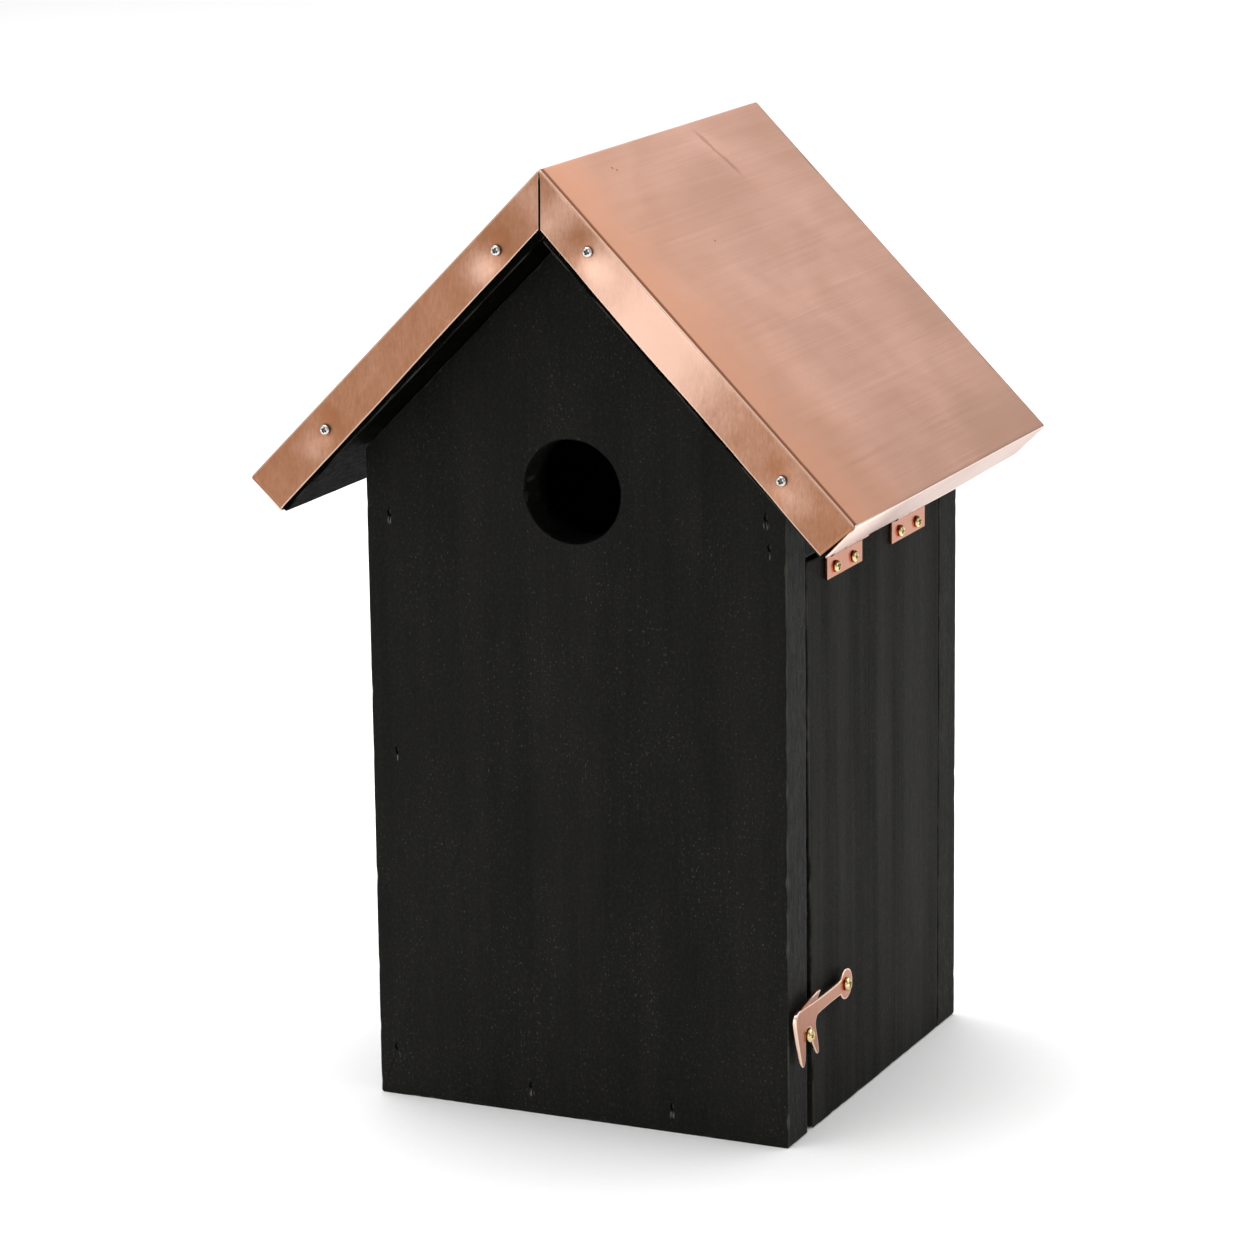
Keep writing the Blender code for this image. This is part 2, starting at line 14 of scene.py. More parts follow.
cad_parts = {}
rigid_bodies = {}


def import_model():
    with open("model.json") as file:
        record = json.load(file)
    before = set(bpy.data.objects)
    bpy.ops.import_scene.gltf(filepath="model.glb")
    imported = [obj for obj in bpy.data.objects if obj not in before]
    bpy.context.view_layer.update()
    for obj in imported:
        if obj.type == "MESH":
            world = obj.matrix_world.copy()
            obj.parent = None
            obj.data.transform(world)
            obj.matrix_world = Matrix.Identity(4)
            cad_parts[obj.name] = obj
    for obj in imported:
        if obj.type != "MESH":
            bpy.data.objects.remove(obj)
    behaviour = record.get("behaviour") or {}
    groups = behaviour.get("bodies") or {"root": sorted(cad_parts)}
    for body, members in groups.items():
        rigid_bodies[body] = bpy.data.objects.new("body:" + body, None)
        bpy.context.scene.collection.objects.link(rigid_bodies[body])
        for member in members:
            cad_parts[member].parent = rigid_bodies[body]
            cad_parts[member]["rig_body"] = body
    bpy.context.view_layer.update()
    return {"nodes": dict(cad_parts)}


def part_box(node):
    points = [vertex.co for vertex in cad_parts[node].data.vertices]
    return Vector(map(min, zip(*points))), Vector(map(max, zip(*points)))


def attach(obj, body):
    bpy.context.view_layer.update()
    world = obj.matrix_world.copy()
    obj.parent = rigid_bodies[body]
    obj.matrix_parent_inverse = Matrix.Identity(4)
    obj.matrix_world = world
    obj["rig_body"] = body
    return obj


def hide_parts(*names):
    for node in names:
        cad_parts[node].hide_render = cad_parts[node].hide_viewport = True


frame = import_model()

MM = 0.001
NODES = frame["nodes"]


def low(node):
    """A node's least x, y and z."""
    return np.array(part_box(node)[0])


def high(node):
    """A node's greatest x, y and z."""
    return np.array(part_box(node)[1])


# Sizes read from the frame
SIDE = high("front_panel")[0]
FRONT = low("front_panel")[1]
BACK = high("back_panel")[1]
BOARD = high("front_panel")[1] - FRONT
GABLE_TOP = high("front_panel")[2]
RIDGE = high("roof_copper_sheet")[2]
SLOPE = high("roof_copper_sheet")[0] * sqrt(2)
ROOF_FRONT = low("roof_copper_sheet")[1]
ROOF_BACK = high("roof_copper_sheet")[1]
DOOR_LOW = low("door_panel")
DOOR_HIGH = high("door_panel")
RAIL_LOW = low("door_top_rail")

# The roof sheet: its metal, its flanges, the radii of its folds, and the gaps at its corners.
# Then the painted highlight across a fold, from the slope round to the flange, and the colour of the
# painted highlights on folds and cut edges
SHEET = 0.6 * MM
FLANGE_AT_RIDGE = 12.5 * MM
FLANGE_AT_EAVE = 14.0 * MM
RIDGE_BEND = 0.8 * MM
EDGE_BEND = 0.8 * MM
RIDGE_MITRE = 0.8 * MM
CORNER_GAP = 1.3 * MM
CORNER_START = 0.3 * MM
FOLD_HIGHLIGHT = (0.0, 0.0, 0.3, 1.0, 0.6, 0.1, 0.0)
HIGHLIGHT_COPPER = (0.98, 0.74, 0.60)

# Boards
ROOF_BOARD_TOP = 0.8 * MM
ROOF_BOARD_UNDER = 15.3 * MM
RIDGE_BUTT = 15.5 * MM
DOOR_SKEW = 4.1 * MM
ENTRANCE = (0.0, 200.0 * MM)
ENTRANCE_RADIUS = 16.0 * MM
KEYHOLE = (0.0, 236.0 * MM)
KEYHOLE_RADIUS = 5.0 * MM
KEYHOLE_SLOT = 2.7 * MM
KEYHOLE_RISE = 13.0 * MM
ARRIS = 0.32 * MM
BOARD_STEP = 1.2 * MM


# --------------------------------------------------------------------------------------
# Finishes


class Signal:
    """A value that varies over a surface, for sums written as plain expressions."""

    def __init__(self, finish, socket):
        self.finish = finish
        self.socket = socket

    def _math(self, operation, first, second):
        return self.finish.node("ShaderNodeMath", {"operation": operation}, {0: first, 1: second})

    def __add__(self, other):
        return self._math("ADD", self, other)

    def __radd__(self, other):
        return self._math("ADD", other, self)

    def __sub__(self, other):
        return self._math("SUBTRACT", self, other)

    def __rsub__(self, other):
        return self._math("SUBTRACT", other, self)

    def __mul__(self, other):
        return self._math("MULTIPLY", self, other)

    def __rmul__(self, other):
        return self._math("MULTIPLY", other, self)

    def __pow__(self, other):
        return self._math("POWER", self, other)


class Finish:
    """One material being mixed. Its patterns read object coordinates, in metres."""

    def __init__(self, name):
        self.material = bpy.data.materials.new(name)
        self.material.use_nodes = True
        self.tree = self.material.node_tree
        self.shader = self.tree.nodes["Principled BSDF"]
        self.place = self.node("ShaderNodeTexCoord", out="Object")

    def node(self, kind, settings=None, inputs=None, out=0):
        """Any node: its settings first, then the values or links of its sockets."""
        made = self.tree.nodes.new(kind)
        for name, value in (settings or {}).items():
            setattr(made, name, value)
        for key, value in (inputs or {}).items():
            if isinstance(value, Signal):
                self.tree.links.new(value.socket, made.inputs[key])
            else:
                made.inputs[key].default_value = value
        return Signal(self, made.outputs[out])

    def noise(self, stretch, detail=3.0, rough=0.55, shift=(0, 0, 0), distortion=0.0):
        """Cloudy noise with so many features a metre along each axis."""
        spread = self.node("ShaderNodeMapping", None, {0: self.place, 1: shift, 3: stretch})
        sockets = {
            "Vector": spread,
            "Scale": 1.0,
            "Detail": detail,
            "Roughness": rough,
            "Distortion": distortion,
        }
        return self.node("ShaderNodeTexNoise", None, sockets)

    def along(self, axis):
        """The place along one axis, in metres."""
        return self.node("ShaderNodeSeparateXYZ", None, {0: self.place}, axis)

    def distance(self, point):
        """How far the surface is from a point."""
        sockets = {0: self.place, 1: point}
        return self.node("ShaderNodeVectorMath", {"operation": "DISTANCE"}, sockets, "Value")

    def step(self, value, start, end, first=0.0, last=1.0):
        """A soft step from a first value at start to a last one at end."""
        sockets = {0: value, 1: start, 2: end, 3: first, 4: last}
        return self.node("ShaderNodeMapRange", {"interpolation_type": "SMOOTHSTEP"}, sockets)

    def mix(self, amount, first, second):
        """One colour turning into another."""
        sockets = {0: amount, 6: colour(first), 7: colour(second)}
        return self.node("ShaderNodeMix", {"data_type": "RGBA"}, sockets, 2)

    def attribute(self, name):
        """A number kept on each vertex of the mesh."""
        return self.node("ShaderNodeAttribute", {"attribute_name": name}, None, "Fac")

    def bump(self, height, distance, strength=1.0):
        """The surface raised and lowered by a pattern."""
        sockets = {"Height": height, "Distance": distance, "Strength": strength}
        return self.node("ShaderNodeBump", None, sockets)

    def set(self, **values):
        """Link or set the shader's sockets, with underscores for the spaces in their names."""
        for name, value in values.items():
            socket = self.shader.inputs[name.replace("_", " ")]
            if isinstance(value, Signal):
                self.tree.links.new(value.socket, socket)
            else:
                socket.default_value = colour(value)
        return self.material


def colour(value):
    """A colour with its fourth number, or a link or number as it is."""
    return (*value, 1.0) if isinstance(value, tuple) else value


GRAIN = {
    "x": lambda across, along: (along, across, across),
    "y": lambda across, along: (across, along, across),
    "z": lambda across, along: (across, across, along),
}


def stained_wood(name, grain, shift, tone=1.0, banding=1.0, sheen=0.13, nails=()):
    """Near-black stain over fine sawn grain: broad bands, woolly fibres, pale specks, arrises
    scuffed back to brown, and short pale scratches where nails were set. On the entrance hole's wall
    a pale patch on one side is painted light, and the rest of the wall is painted near black as
    shade."""
    wood = Finish(name)
    lay = GRAIN[grain]
    bands = wood.noise(lay(70, 2.2), 2.0, 0.5, shift, 0.3)
    streaks = wood.noise(lay(420, 12), 3.0, 0.6, shift, 0.3)
    fibre = wood.noise(lay(1500, 210), 3.0, 0.65, shift, 0.4)
    wool = wood.noise((1000, 1000, 800), 4.0, 0.75, shift)
    mottle = wood.noise(lay(60, 22), 4.0, 0.6, shift)
    specks = wood.noise(lay(1900, 900), 1.0, 0.5, shift)
    band_light = wood.step(bands, 0.36, 0.66)
    body = (
        0.30 * banding * band_light
        + 0.14 * banding * wood.step(streaks, 0.35, 0.7)
        + 0.36 * wood.step(fibre, 0.40, 0.68)
        + 0.44 * wood.step(wool, 0.46, 0.66)
        + 0.20 * wood.step(mottle, 0.3, 0.75)
    )
    dark = tuple(tone * part for part in (0.0006, 0.0006, 0.0005))
    light = tuple(tone * part for part in (0.0118, 0.0115, 0.0098))
    stain = wood.mix(body, dark, light)
    flecks = wood.step(specks, 0.65, 0.74) * wood.step(mottle, 0.32, 0.62)
    flecked = wood.mix(flecks * 0.6, stain, (0.058, 0.056, 0.047))
    wear_and_hole_shading = wood.attribute("wear_and_hole_shading")
    # Stain scuffed off at the arrises, and a pale patch of painted light on the entrance hole's wall
    bare_and_lit = wood.step(wear_and_hole_shading + 0.5 * (fibre - 0.5), 0.30, 0.95)
    wear_and_shading = wood.mix(bare_and_lit * 0.8, flecked, (0.058, 0.054, 0.046))
    # Painted shade: the entrance hole's wall, marked below zero, turns near black
    painted_hole_shade = wood.step(wear_and_hole_shading, -0.6, -0.1, 0.85, 0.0)
    wear_and_shading = wood.mix(painted_hole_shade, wear_and_shading, (0.0004, 0.0004, 0.0004))
    scratches = wood.step(wood.noise(lay(2600, 300), 1.0, 0.4, shift), 0.53, 0.60)
    for point in nails:
        near = wood.step(wood.distance(point), 0.3 * MM, 1.5 * MM, 1.0, 0.0)
        wear_and_shading = wood.mix(near * scratches * 0.7, wear_and_shading, (0.17, 0.165, 0.15))
    height = fibre * 0.45 + wool * 0.45 + streaks * 0.35
    raised = wood.bump(height, 0.30 * MM, 0.75)
    gloss = wood.step(fibre, 0.25, 0.8, 0.52, 0.80)
    return wood.set(Base_Color=wear_and_shading, Roughness=gloss, Normal=raised, Specular_IOR_Level=sheen)


def brushed_copper(name, brushing, shift, warm, cool, rough=0.30, scuffs=1.0, marks=None):
    """Satin copper, brushed one way, with cloudy tarnish, pits and short pale scratches. Marks
    may add what only one piece has, from the finish and its colour so far."""
    metal = Finish(name)
    lay = GRAIN[brushing]
    strokes = metal.noise(lay(2600, 16), 2.0, 0.6, shift)
    drags = metal.noise(lay(760, 5), 3.0, 0.6, shift, 0.2)
    clouds = metal.noise((16, 12, 18), 4.0, 0.55, shift, 0.6)
    blotch = metal.noise((60, 48, 66), 3.0, 0.6, shift)
    pits = metal.noise((520, 520, 520), 2.0, 0.5, shift)
    tone = (
        0.50 * metal.step(clouds, 0.34, 0.66)
        + 0.20 * metal.step(blotch, 0.3, 0.75)
        + 0.46 * (metal.step(strokes, 0.3, 0.7) - 0.40)
        + 0.22 * (metal.step(drags, 0.3, 0.7) - 0.40)
    )
    base = metal.mix(tone, warm, cool)
    pitted = metal.mix(metal.step(pits, 0.755, 0.81) * 0.5, base, (0.22, 0.09, 0.05))
    lines = metal.noise((1700, 240, 130), 1.0, 0.4, shift, 1.4)
    scratch = metal.step(lines, 0.735, 0.79) * metal.step(clouds, 0.5, 0.62) * scuffs
    marked = metal.mix(scratch * 0.5, pitted, (1.0, 0.80, 0.68))
    if marks:
        marked = marks(metal, marked)
    raised = metal.bump(strokes * 0.4 + drags * 0.6, 0.08 * MM, 0.6)
    gloss = rough + 0.09 * metal.step(clouds, 0.3, 0.7) + 0.10 * strokes
    return metal.set(Base_Color=marked, Roughness=gloss, Normal=raised, Metallic=1.0)


def roof_marks(metal, base):
    """The sheet's colour changes, many of them painted light and shade: the turned-down end flanges
    painted browner as shade, with painted highlights where they bow out and just below each screw
    and painted shade just above; painted highlights on the folds and cut edges; a painted dark
    reflection in a line behind the front fold; the eave flange painted pale at the front and darker
    further back, as painted light and shade; copper more orange towards the front; and a thumbed
    smudge high on the right slope."""
    x, y = metal.along(0), metal.along(1)
    drift = y + 26 * MM * (metal.noise((40, 22, 40), 3.0, 0.6, (2, 5, 1), 0.4) - 0.5)
    warm = metal.step(drift, -90 * MM, -32 * MM, 0.95, 0.12)
    warmer = metal.mix(warm, base, (0.61, 0.30, 0.185))
    wander = 5 * MM * (metal.noise((150, 150, 150), 3.0, 0.6) - 0.5)
    smear = y - 0.42 * x - 15.9 * MM - wander
    ends = metal.step(x, 1.0 * MM, 5.0 * MM) * metal.step(x, 18.0 * MM, 13.0 * MM)
    thumbed = warmer
    for strand in (-0.7 * MM, 0.0, 0.7 * MM):
        gap = smear - strand
        streak = metal.step(gap * gap, 0.0, (0.7 * MM) ** 2, 0.42, 0.0) * ends
        thumbed = metal.mix(streak, thumbed, (0.30, 0.14, 0.09))
    # A painted dark reflection in a line just behind the front fold
    behind = metal.step(y, ROOF_FRONT + 1.8 * MM, ROOF_FRONT + 2.9 * MM, 0.95, 0.0)
    lined = metal.mix(behind, thumbed, (0.17, 0.050, 0.018))
    for spot in ((5.0, -50.0, 295.7), (5.8, -48.3, 294.9), (29.0, -28.0, 271.7)):
        gap = metal.distance(tuple(part * MM for part in spot))
        pit = metal.step(gap, 0.25 * MM, 0.6 * MM, 0.8, 0.0)
        lined = metal.mix(pit, lined, (0.16, 0.06, 0.03))
    front = metal.step(y, ROOF_FRONT + 0.5 * MM, ROOF_FRONT + 0.3 * MM, 0.0, 1.0)
    rear = metal.step(y, ROOF_BACK - 0.5 * MM, ROOF_BACK - 0.3 * MM, 0.0, 1.0)
    # Painted highlights and shade on the end flanges, broken up by noise: pale copper where they bow
    # out and below each screw, brown copper elsewhere as painted shade
    cloud = metal.noise((150, 60, 150), 4.0, 0.65, (3, 1, 2), 0.5)
    streaky_light = metal.noise((1500, 60, 420), 2.0, 0.6, (5, 2, 1), 0.5)
    flange_light_and_shade = metal.attribute("flange_light_and_shade") + 0.30 * (cloud - 0.5) + 0.28 * (streaky_light - 0.5)
    flange = metal.mix(metal.step(flange_light_and_shade, -0.1, 1.0), (0.35, 0.150, 0.074), (0.93, 0.60, 0.47))
    # The eave flange painted pale at the front and darker further back, as painted light and shade
    eave = metal.mix(metal.step(y, -88 * MM, -45 * MM), (0.98, 0.74, 0.64), (0.44, 0.29, 0.24))
    turned_under = metal.mix(metal.attribute("eave"), lined, eave)
    turned_down = metal.mix(front + rear, turned_under, flange)
    # Painted highlights on folds and cut edges
    return metal.mix(metal.attribute("edge") * 0.75, turned_down, HIGHLIGHT_COPPER)


def fitting_marks(metal, base):
    """A red-brown crescent of painted reflection and shade in front of each brass screw, and painted
    highlights on eased edges.
    """
    screw_reflections = base
    names = [name for name in NODES if "_screw" in name and not name.startswith("roof_")]
    for name in names:
        middle = (low(name) + high(name)) / 2
        point = (SIDE + 1.1 * MM, middle[1] - 2.1 * MM, middle[2] + 0.3 * MM)
        if name.startswith("latch"):
            point = (SIDE + 2.9 * MM, middle[1] - 2.3 * MM, middle[2] + 0.3 * MM)
        # Painted reflection and shade of each screw head on the copper
        near = metal.step(metal.distance(point), 1.5 * MM, 2.6 * MM, 1.0, 0.0)
        screw_reflections = metal.mix(near, screw_reflections, (0.40, 0.040, 0.008))
    # Painted highlights on eased edges
    return metal.mix(metal.attribute("edge") * 0.85, screw_reflections, (1.0, 0.74, 0.60))


def bright_metal(name, base, shade, rough, shift):
    """Small plated fasteners: bright, with faint handling marks, darker tarnish in patches, and
    painted shade in the cross sunk into a screw's head.
    """
    metal = Finish(name)
    clouds = metal.noise((420, 420, 420), 3.0, 0.6, shift)
    marks = metal.noise((4200, 4200, 900), 2.0, 0.5, shift)
    cross_shade = metal.attribute("cross_shade")
    tint = metal.mix(metal.step(clouds, 0.35, 0.75), base, shade)
    # Painted shade in the cross sunk into a screw's head
    cross_shaded = metal.mix(cross_shade, tint, (0.035, 0.030, 0.022))
    gloss = rough + 0.12 * metal.step(marks, 0.4, 0.8) + 0.3 * cross_shade
    raised = metal.bump(marks, 0.02 * MM, 0.5)
    return metal.set(Base_Color=cross_shaded, Roughness=gloss, Normal=raised, Metallic=1.0)


# --------------------------------------------------------------------------------------
# Surfaces


def lattice(points, cell, seed):
    """Smooth noise from 0 to 1: random values on the corners of cells of the given size, blended
    by how far into its cell each point lies."""
    table = np.random.default_rng(seed).random((32, 32, 32))
    place = points / np.array(cell)
    base = np.floor(place).astype(int)
    part = place - base
    part = part * part * (3 - 2 * part)
    total = 0.0
    for corner in np.ndindex(2, 2, 2):
        index = (base + corner) % 32
        weight = np.prod(np.where(corner, part, 1 - part), axis=-1)
        total = total + weight * table[index[..., 0], index[..., 1], index[..., 2]]
    return total


def grid_faces(rows, columns, start=0):
    """Quads between neighbouring rows and columns of a grid of vertices."""
    index = start + np.arange(rows * columns).reshape(rows, columns)
    quads = np.stack([index[:-1, :-1], index[:-1, 1:], index[1:, 1:], index[1:, :-1]], -1)
    return quads.reshape(-1, 4).tolist()


def welded(name, patches, values=None, caps=()):
    """Joins grids of points into one mesh that points outwards, merged where the grids meet.
    Values are named numbers for each point; caps are runs of points closed by one face."""
    points, faces = [], []
    for patch in patches:
        rows, columns = patch.shape[:2]
        faces += grid_faces(rows, columns, sum(len(part) for part in points))
        points.append(patch.reshape(-1, 3))
    mesh = bpy.data.meshes.new(name)
    mesh.from_pydata(np.concatenate(points).tolist(), [], faces + [list(cap) for cap in caps])
    for title, grids in (values or {}).items():
        layer = mesh.attributes.new(title, "FLOAT", "POINT")
        flat = np.concatenate([grid.ravel() for grid in grids]).astype(np.float32)
        layer.data.foreach_set("value", flat)
    bm = bmesh.new()
    bm.from_mesh(mesh)
    bmesh.ops.remove_doubles(bm, verts=bm.verts, dist=0.003 * MM)
    bmesh.ops.dissolve_degenerate(bm, edges=bm.edges, dist=0.001 * MM)
    bmesh.ops.recalc_face_normals(bm, faces=bm.faces)
    bm.to_mesh(mesh)
    bm.free()
    return mesh


def piece(name, mesh, finish, body, replaced=(), thickness=0.0, angle=40):
    """Shades a mesh, gives it its finish and its body, and hides the nodes it stands for."""
    mesh.shade_smooth()
    mesh.set_sharp_from_angle(angle=radians(angle))
    mesh.materials.clear()
    mesh.materials.append(finish)
    made = bpy.data.objects.new(name, mesh)
    bpy.context.scene.collection.objects.link(made)
    if thickness:
        wall = made.modifiers.new("wall", "SOLIDIFY")
        wall.thickness = thickness
        wall.offset = -1
        wall.use_even_offset = True
    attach(made, body)
    if replaced:
        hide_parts(*replaced)
    return made


def combined(mesh, other, operation):
    """A mesh cut by, or joined to, another closed mesh."""
    first = bpy.data.objects.new("first", mesh)
    second = bpy.data.objects.new("second", other)
    for thing in (first, second):
        bpy.context.scene.collection.objects.link(thing)
    step = first.modifiers.new("cut", "BOOLEAN")
    step.object = second
    step.operation = operation
    step.solver = "MANIFOLD"
    shown = first.evaluated_get(bpy.context.evaluated_depsgraph_get())
    made = bpy.data.meshes.new_from_object(shown)
    made.name = mesh.name
    for thing in (first, second):
        bpy.data.objects.remove(thing)
    return made


# --------------------------------------------------------------------------------------
# The roof sheet


def on_roof(side, down, inwards, y):
    """Points by their distance down the slope and their depth below its outer surface."""
    x = side * (down - inwards) / sqrt(2)
    z = RIDGE - (down + inwards) / sqrt(2)
    return np.stack(np.broadcast_arrays(x, y, z), -1)


def roof_profile():
    """From the ridge down: the ridge bend, the flat slope, then (apart) the eave bend and flange."""
    turn = np.radians(np.linspace(0, 45, 7))
    x = RIDGE_BEND * np.sin(turn)
    drop = RIDGE_BEND * (sqrt(2) - np.cos(turn))
    bend = np.stack([(drop + x) / sqrt(2), (drop - x) / sqrt(2)], -1)
    flat = np.linspace(RIDGE_BEND, SLOPE - EDGE_BEND, 130)[1:]
    slope = np.concatenate([bend, np.stack([flat, flat * 0], -1)])
    turn = np.radians(np.linspace(0, 90, 7))
    round_over = np.stack(
        [SLOPE - EDGE_BEND * (1 - np.sin(turn)), EDGE_BEND * (1 - np.cos(turn))], -1
    )
    depth = np.linspace(EDGE_BEND, FLANGE_AT_EAVE, 14)[1:]
    drop_edge = np.stack([depth * 0 + SLOPE, depth], -1)
    return slope, np.concatenate([round_over, drop_edge])


def edge_setback(inwards):
    """How far an end of a flange is cut back from its corner, growing with depth."""
    reach = np.clip((inwards - EDGE_BEND) / (FLANGE_AT_EAVE - EDGE_BEND), 0, 1)
    bent = np.clip(inwards / EDGE_BEND, 0, 1)
    at_bend = EDGE_BEND + (CORNER_START - EDGE_BEND) * bent
    return at_bend + (CORNER_GAP - CORNER_START) * reach


def screw_spots(where):
    """The middles of the flange screws at one end of the roof, from their nodes."""
    names = [name for name in NODES if name.startswith("roof_" + where) and "screw" in name]
    return [(low(name) + high(name)) / 2 for name in names]


def stand_off(down, depth_share, points, out):
    """How far a flange stands off its board. It hollows towards its free edge, bows between its
    screws, is drawn in around each screw, and has a few soft knocks."""
    bow = 0.45 + 0.75 * np.exp(-(((down - 62 * MM) / (20 * MM)) ** 2))
    bow = bow + 0.35 * np.sin(down / (15.5 * MM) + 0.8 * out)
    lift = bow * MM * np.clip(depth_share, 0, 1) ** 1.3
    for spot in screw_spots("front" if out < 0 else "rear"):
        gap = np.hypot(points[:, 0] - spot[0], points[:, 2] - spot[2])
        drawn = np.exp(-((gap / (5.2 * MM)) ** 2))
        lift = lift * (1 - drawn) - 0.42 * MM * np.exp(-((gap / (3.6 * MM)) ** 2))
    knocks = lattice(points, (9 * MM, 9 * MM, 9 * MM), 5) - 0.5
    return lift + 0.22 * MM * knocks * np.clip(3 * depth_share, 0, 1)


def painted_flange_light(down, inwards, side, out):
    """Painted light on a flange: painted highlights as bell curves along it where it bows out and
    one just below each screw where the sheet dips, and painted shade as one just above."""
    s, p = down / MM, inwards / MM
    if side > 0:
        painted_light = 0.30 * np.exp(-(((s - 13) / 6) ** 2)) + 0.92 * np.exp(-(((s - 60) / 26) ** 2))
        painted_light = painted_light + 0.12 * np.exp(-(((s - 112) / 14) ** 2))
    else:
        painted_light = 0.04 * np.exp(-(((s - 75) / 25) ** 2)) + 0.2 * np.exp(-(((s - 8) / 6) ** 2))
    for x, _, z in screw_spots("front" if out < 0 else "rear"):
        if x * side > 0:
            reach = (RIDGE - z + abs(x)) / sqrt(2) / MM
            depth = (RIDGE - z - abs(x)) / sqrt(2) / MM
            below = (s - reach - 7) ** 2 + (p - depth - 1) ** 2
            above = (s - reach + 4) ** 2 + (p - depth + 1) ** 2
            glow = 0.50 if reach < 60 else 0.24
            painted_light = painted_light + glow * np.exp(-below / 5.5**2) - 0.20 * np.exp(-above / 3.6**2)
    return 0.08 + painted_light


def slope_grid(side):
    """One slope down to its eave flange's free edge: a grid down the profile and along the ridge.
    The slope sags by slow noise under two half sine waves, and the flange bows out by a sine wave
    along it that grows towards its free edge. With it come the marks for its finish: painted
    highlights on its eave fold and free edge, and which points lie on the eave flange."""
    slope, eave = roof_profile()
    across = np.concatenate([slope, eave[1:]])
    down, inwards = across[:, :1], across[:, 1:]
    on_slope = (np.arange(len(across)) < len(slope))[:, None]
    setback = np.where(on_slope, EDGE_BEND, edge_setback(inwards))
    share = np.linspace(0, 1, 120)[None, :]
    start, end = ROOF_FRONT + setback, ROOF_BACK - setback
    y = start + (end - start) * share
    slow = lattice(on_roof(side, down, inwards, y), (31 * MM, 40 * MM, 31 * MM), 11) - 0.5
    hollow = np.sin(np.pi * share) * np.sin(np.pi * np.clip(down / SLOPE, 0, 1))
    sag = on_slope * hollow * (0.12 * MM - 0.35 * MM * slow)
    ripple = 0.25 * MM * (1 + np.sin(y / (21 * MM) + side))
    bow = ~on_slope * np.clip(inwards / FLANGE_AT_EAVE, 0, 1) * ripple
    points = on_roof(side, down + bow, inwards + sag, y)
    # Painted highlights on the eave fold and the free edge
    painted_light = np.concatenate([0 * slope[:, 0], FOLD_HIGHLIGHT[1:], 0 * eave[7:, 0]])
    painted_light[-1] = 0.9
    return points, 0 * y, painted_light[:, None] + 0 * y, ~on_slope + 0 * y


def flange_grid(side, edge, out):
    """The flange at one end of a slope: a grid that turns down about the slope's end by a quarter
    circle, then runs on to its free edge, mitred at the ridge and cut back at the eave. With it come
    the marks for its finish: its painted highlights and shade, and the painted highlights on its
    fold and free edge."""
    slope = roof_profile()[0]
    s = slope[:, 0]
    part = (s - s[0]) / (s[-1] - s[0])
    width = FLANGE_AT_RIDGE + (FLANGE_AT_EAVE - FLANGE_AT_RIDGE) * s / SLOPE
    turn = np.radians(np.linspace(0, 90, len(FOLD_HIGHLIGHT)))
    reach = np.linspace(0, 1, 30)[1:]
    rows = [(EDGE_BEND * (1 - cos(a)) + 0 * s, EDGE_BEND * (1 - sin(a))) for a in turn]
    rows += [(EDGE_BEND + (width - EDGE_BEND) * r, 0.0) for r in reach]
    points, flange_light_and_shade = [], []
    for depth, back in rows:
        inwards = depth + slope[:, 1] * (1 - depth / width)
        mitre = RIDGE_MITRE / sqrt(2) * np.clip(depth[0] / (2 * MM), 0, 1)
        first = inwards[0] + mitre
        last = SLOPE - edge_setback(depth)[-1]
        down = first + (last - first) * part
        point = on_roof(side, down, inwards, edge - out * back)
        point[:, 1] += out * stand_off(down, depth / width, point, out)
        points.append(point)
        flange_light_and_shade.append(painted_flange_light(down, inwards, side, out))
    flange_light_and_shade = np.array(flange_light_and_shade)
    # Painted highlights on the fold and the free edge
    painted_light = np.concatenate([FOLD_HIGHLIGHT, 0 * reach])
    painted_light[-1] = 1.0
    painted_light = painted_light[:, None] + 0 * flange_light_and_shade
    painted_light[len(FOLD_HIGHLIGHT) :, 0] = 0.9
    return np.array(points), flange_light_and_shade, painted_light, 0 * flange_light_and_shade


def roof_sheet(finish):
    """The folded sheet: two slopes with their eave flanges, and a flange at each end of each."""
    patches, marks = [], {"flange_light_and_shade": [], "edge": [], "eave": []}
    for side in (-1, 1):
        ends = ((ROOF_FRONT, -1), (ROOF_BACK, 1))
        for grid in [slope_grid(side)] + [flange_grid(side, edge, out) for edge, out in ends]:
            patches.append(grid[0])
            for values, found in zip(marks.values(), grid[1:]):
                values.append(found)
    mesh = welded("roof_sheet", patches, marks)
    return piece("roof_sheet", mesh, finish, "house", ["roof_copper_sheet"], SHEET, 60)


# --------------------------------------------------------------------------------------
# Boards


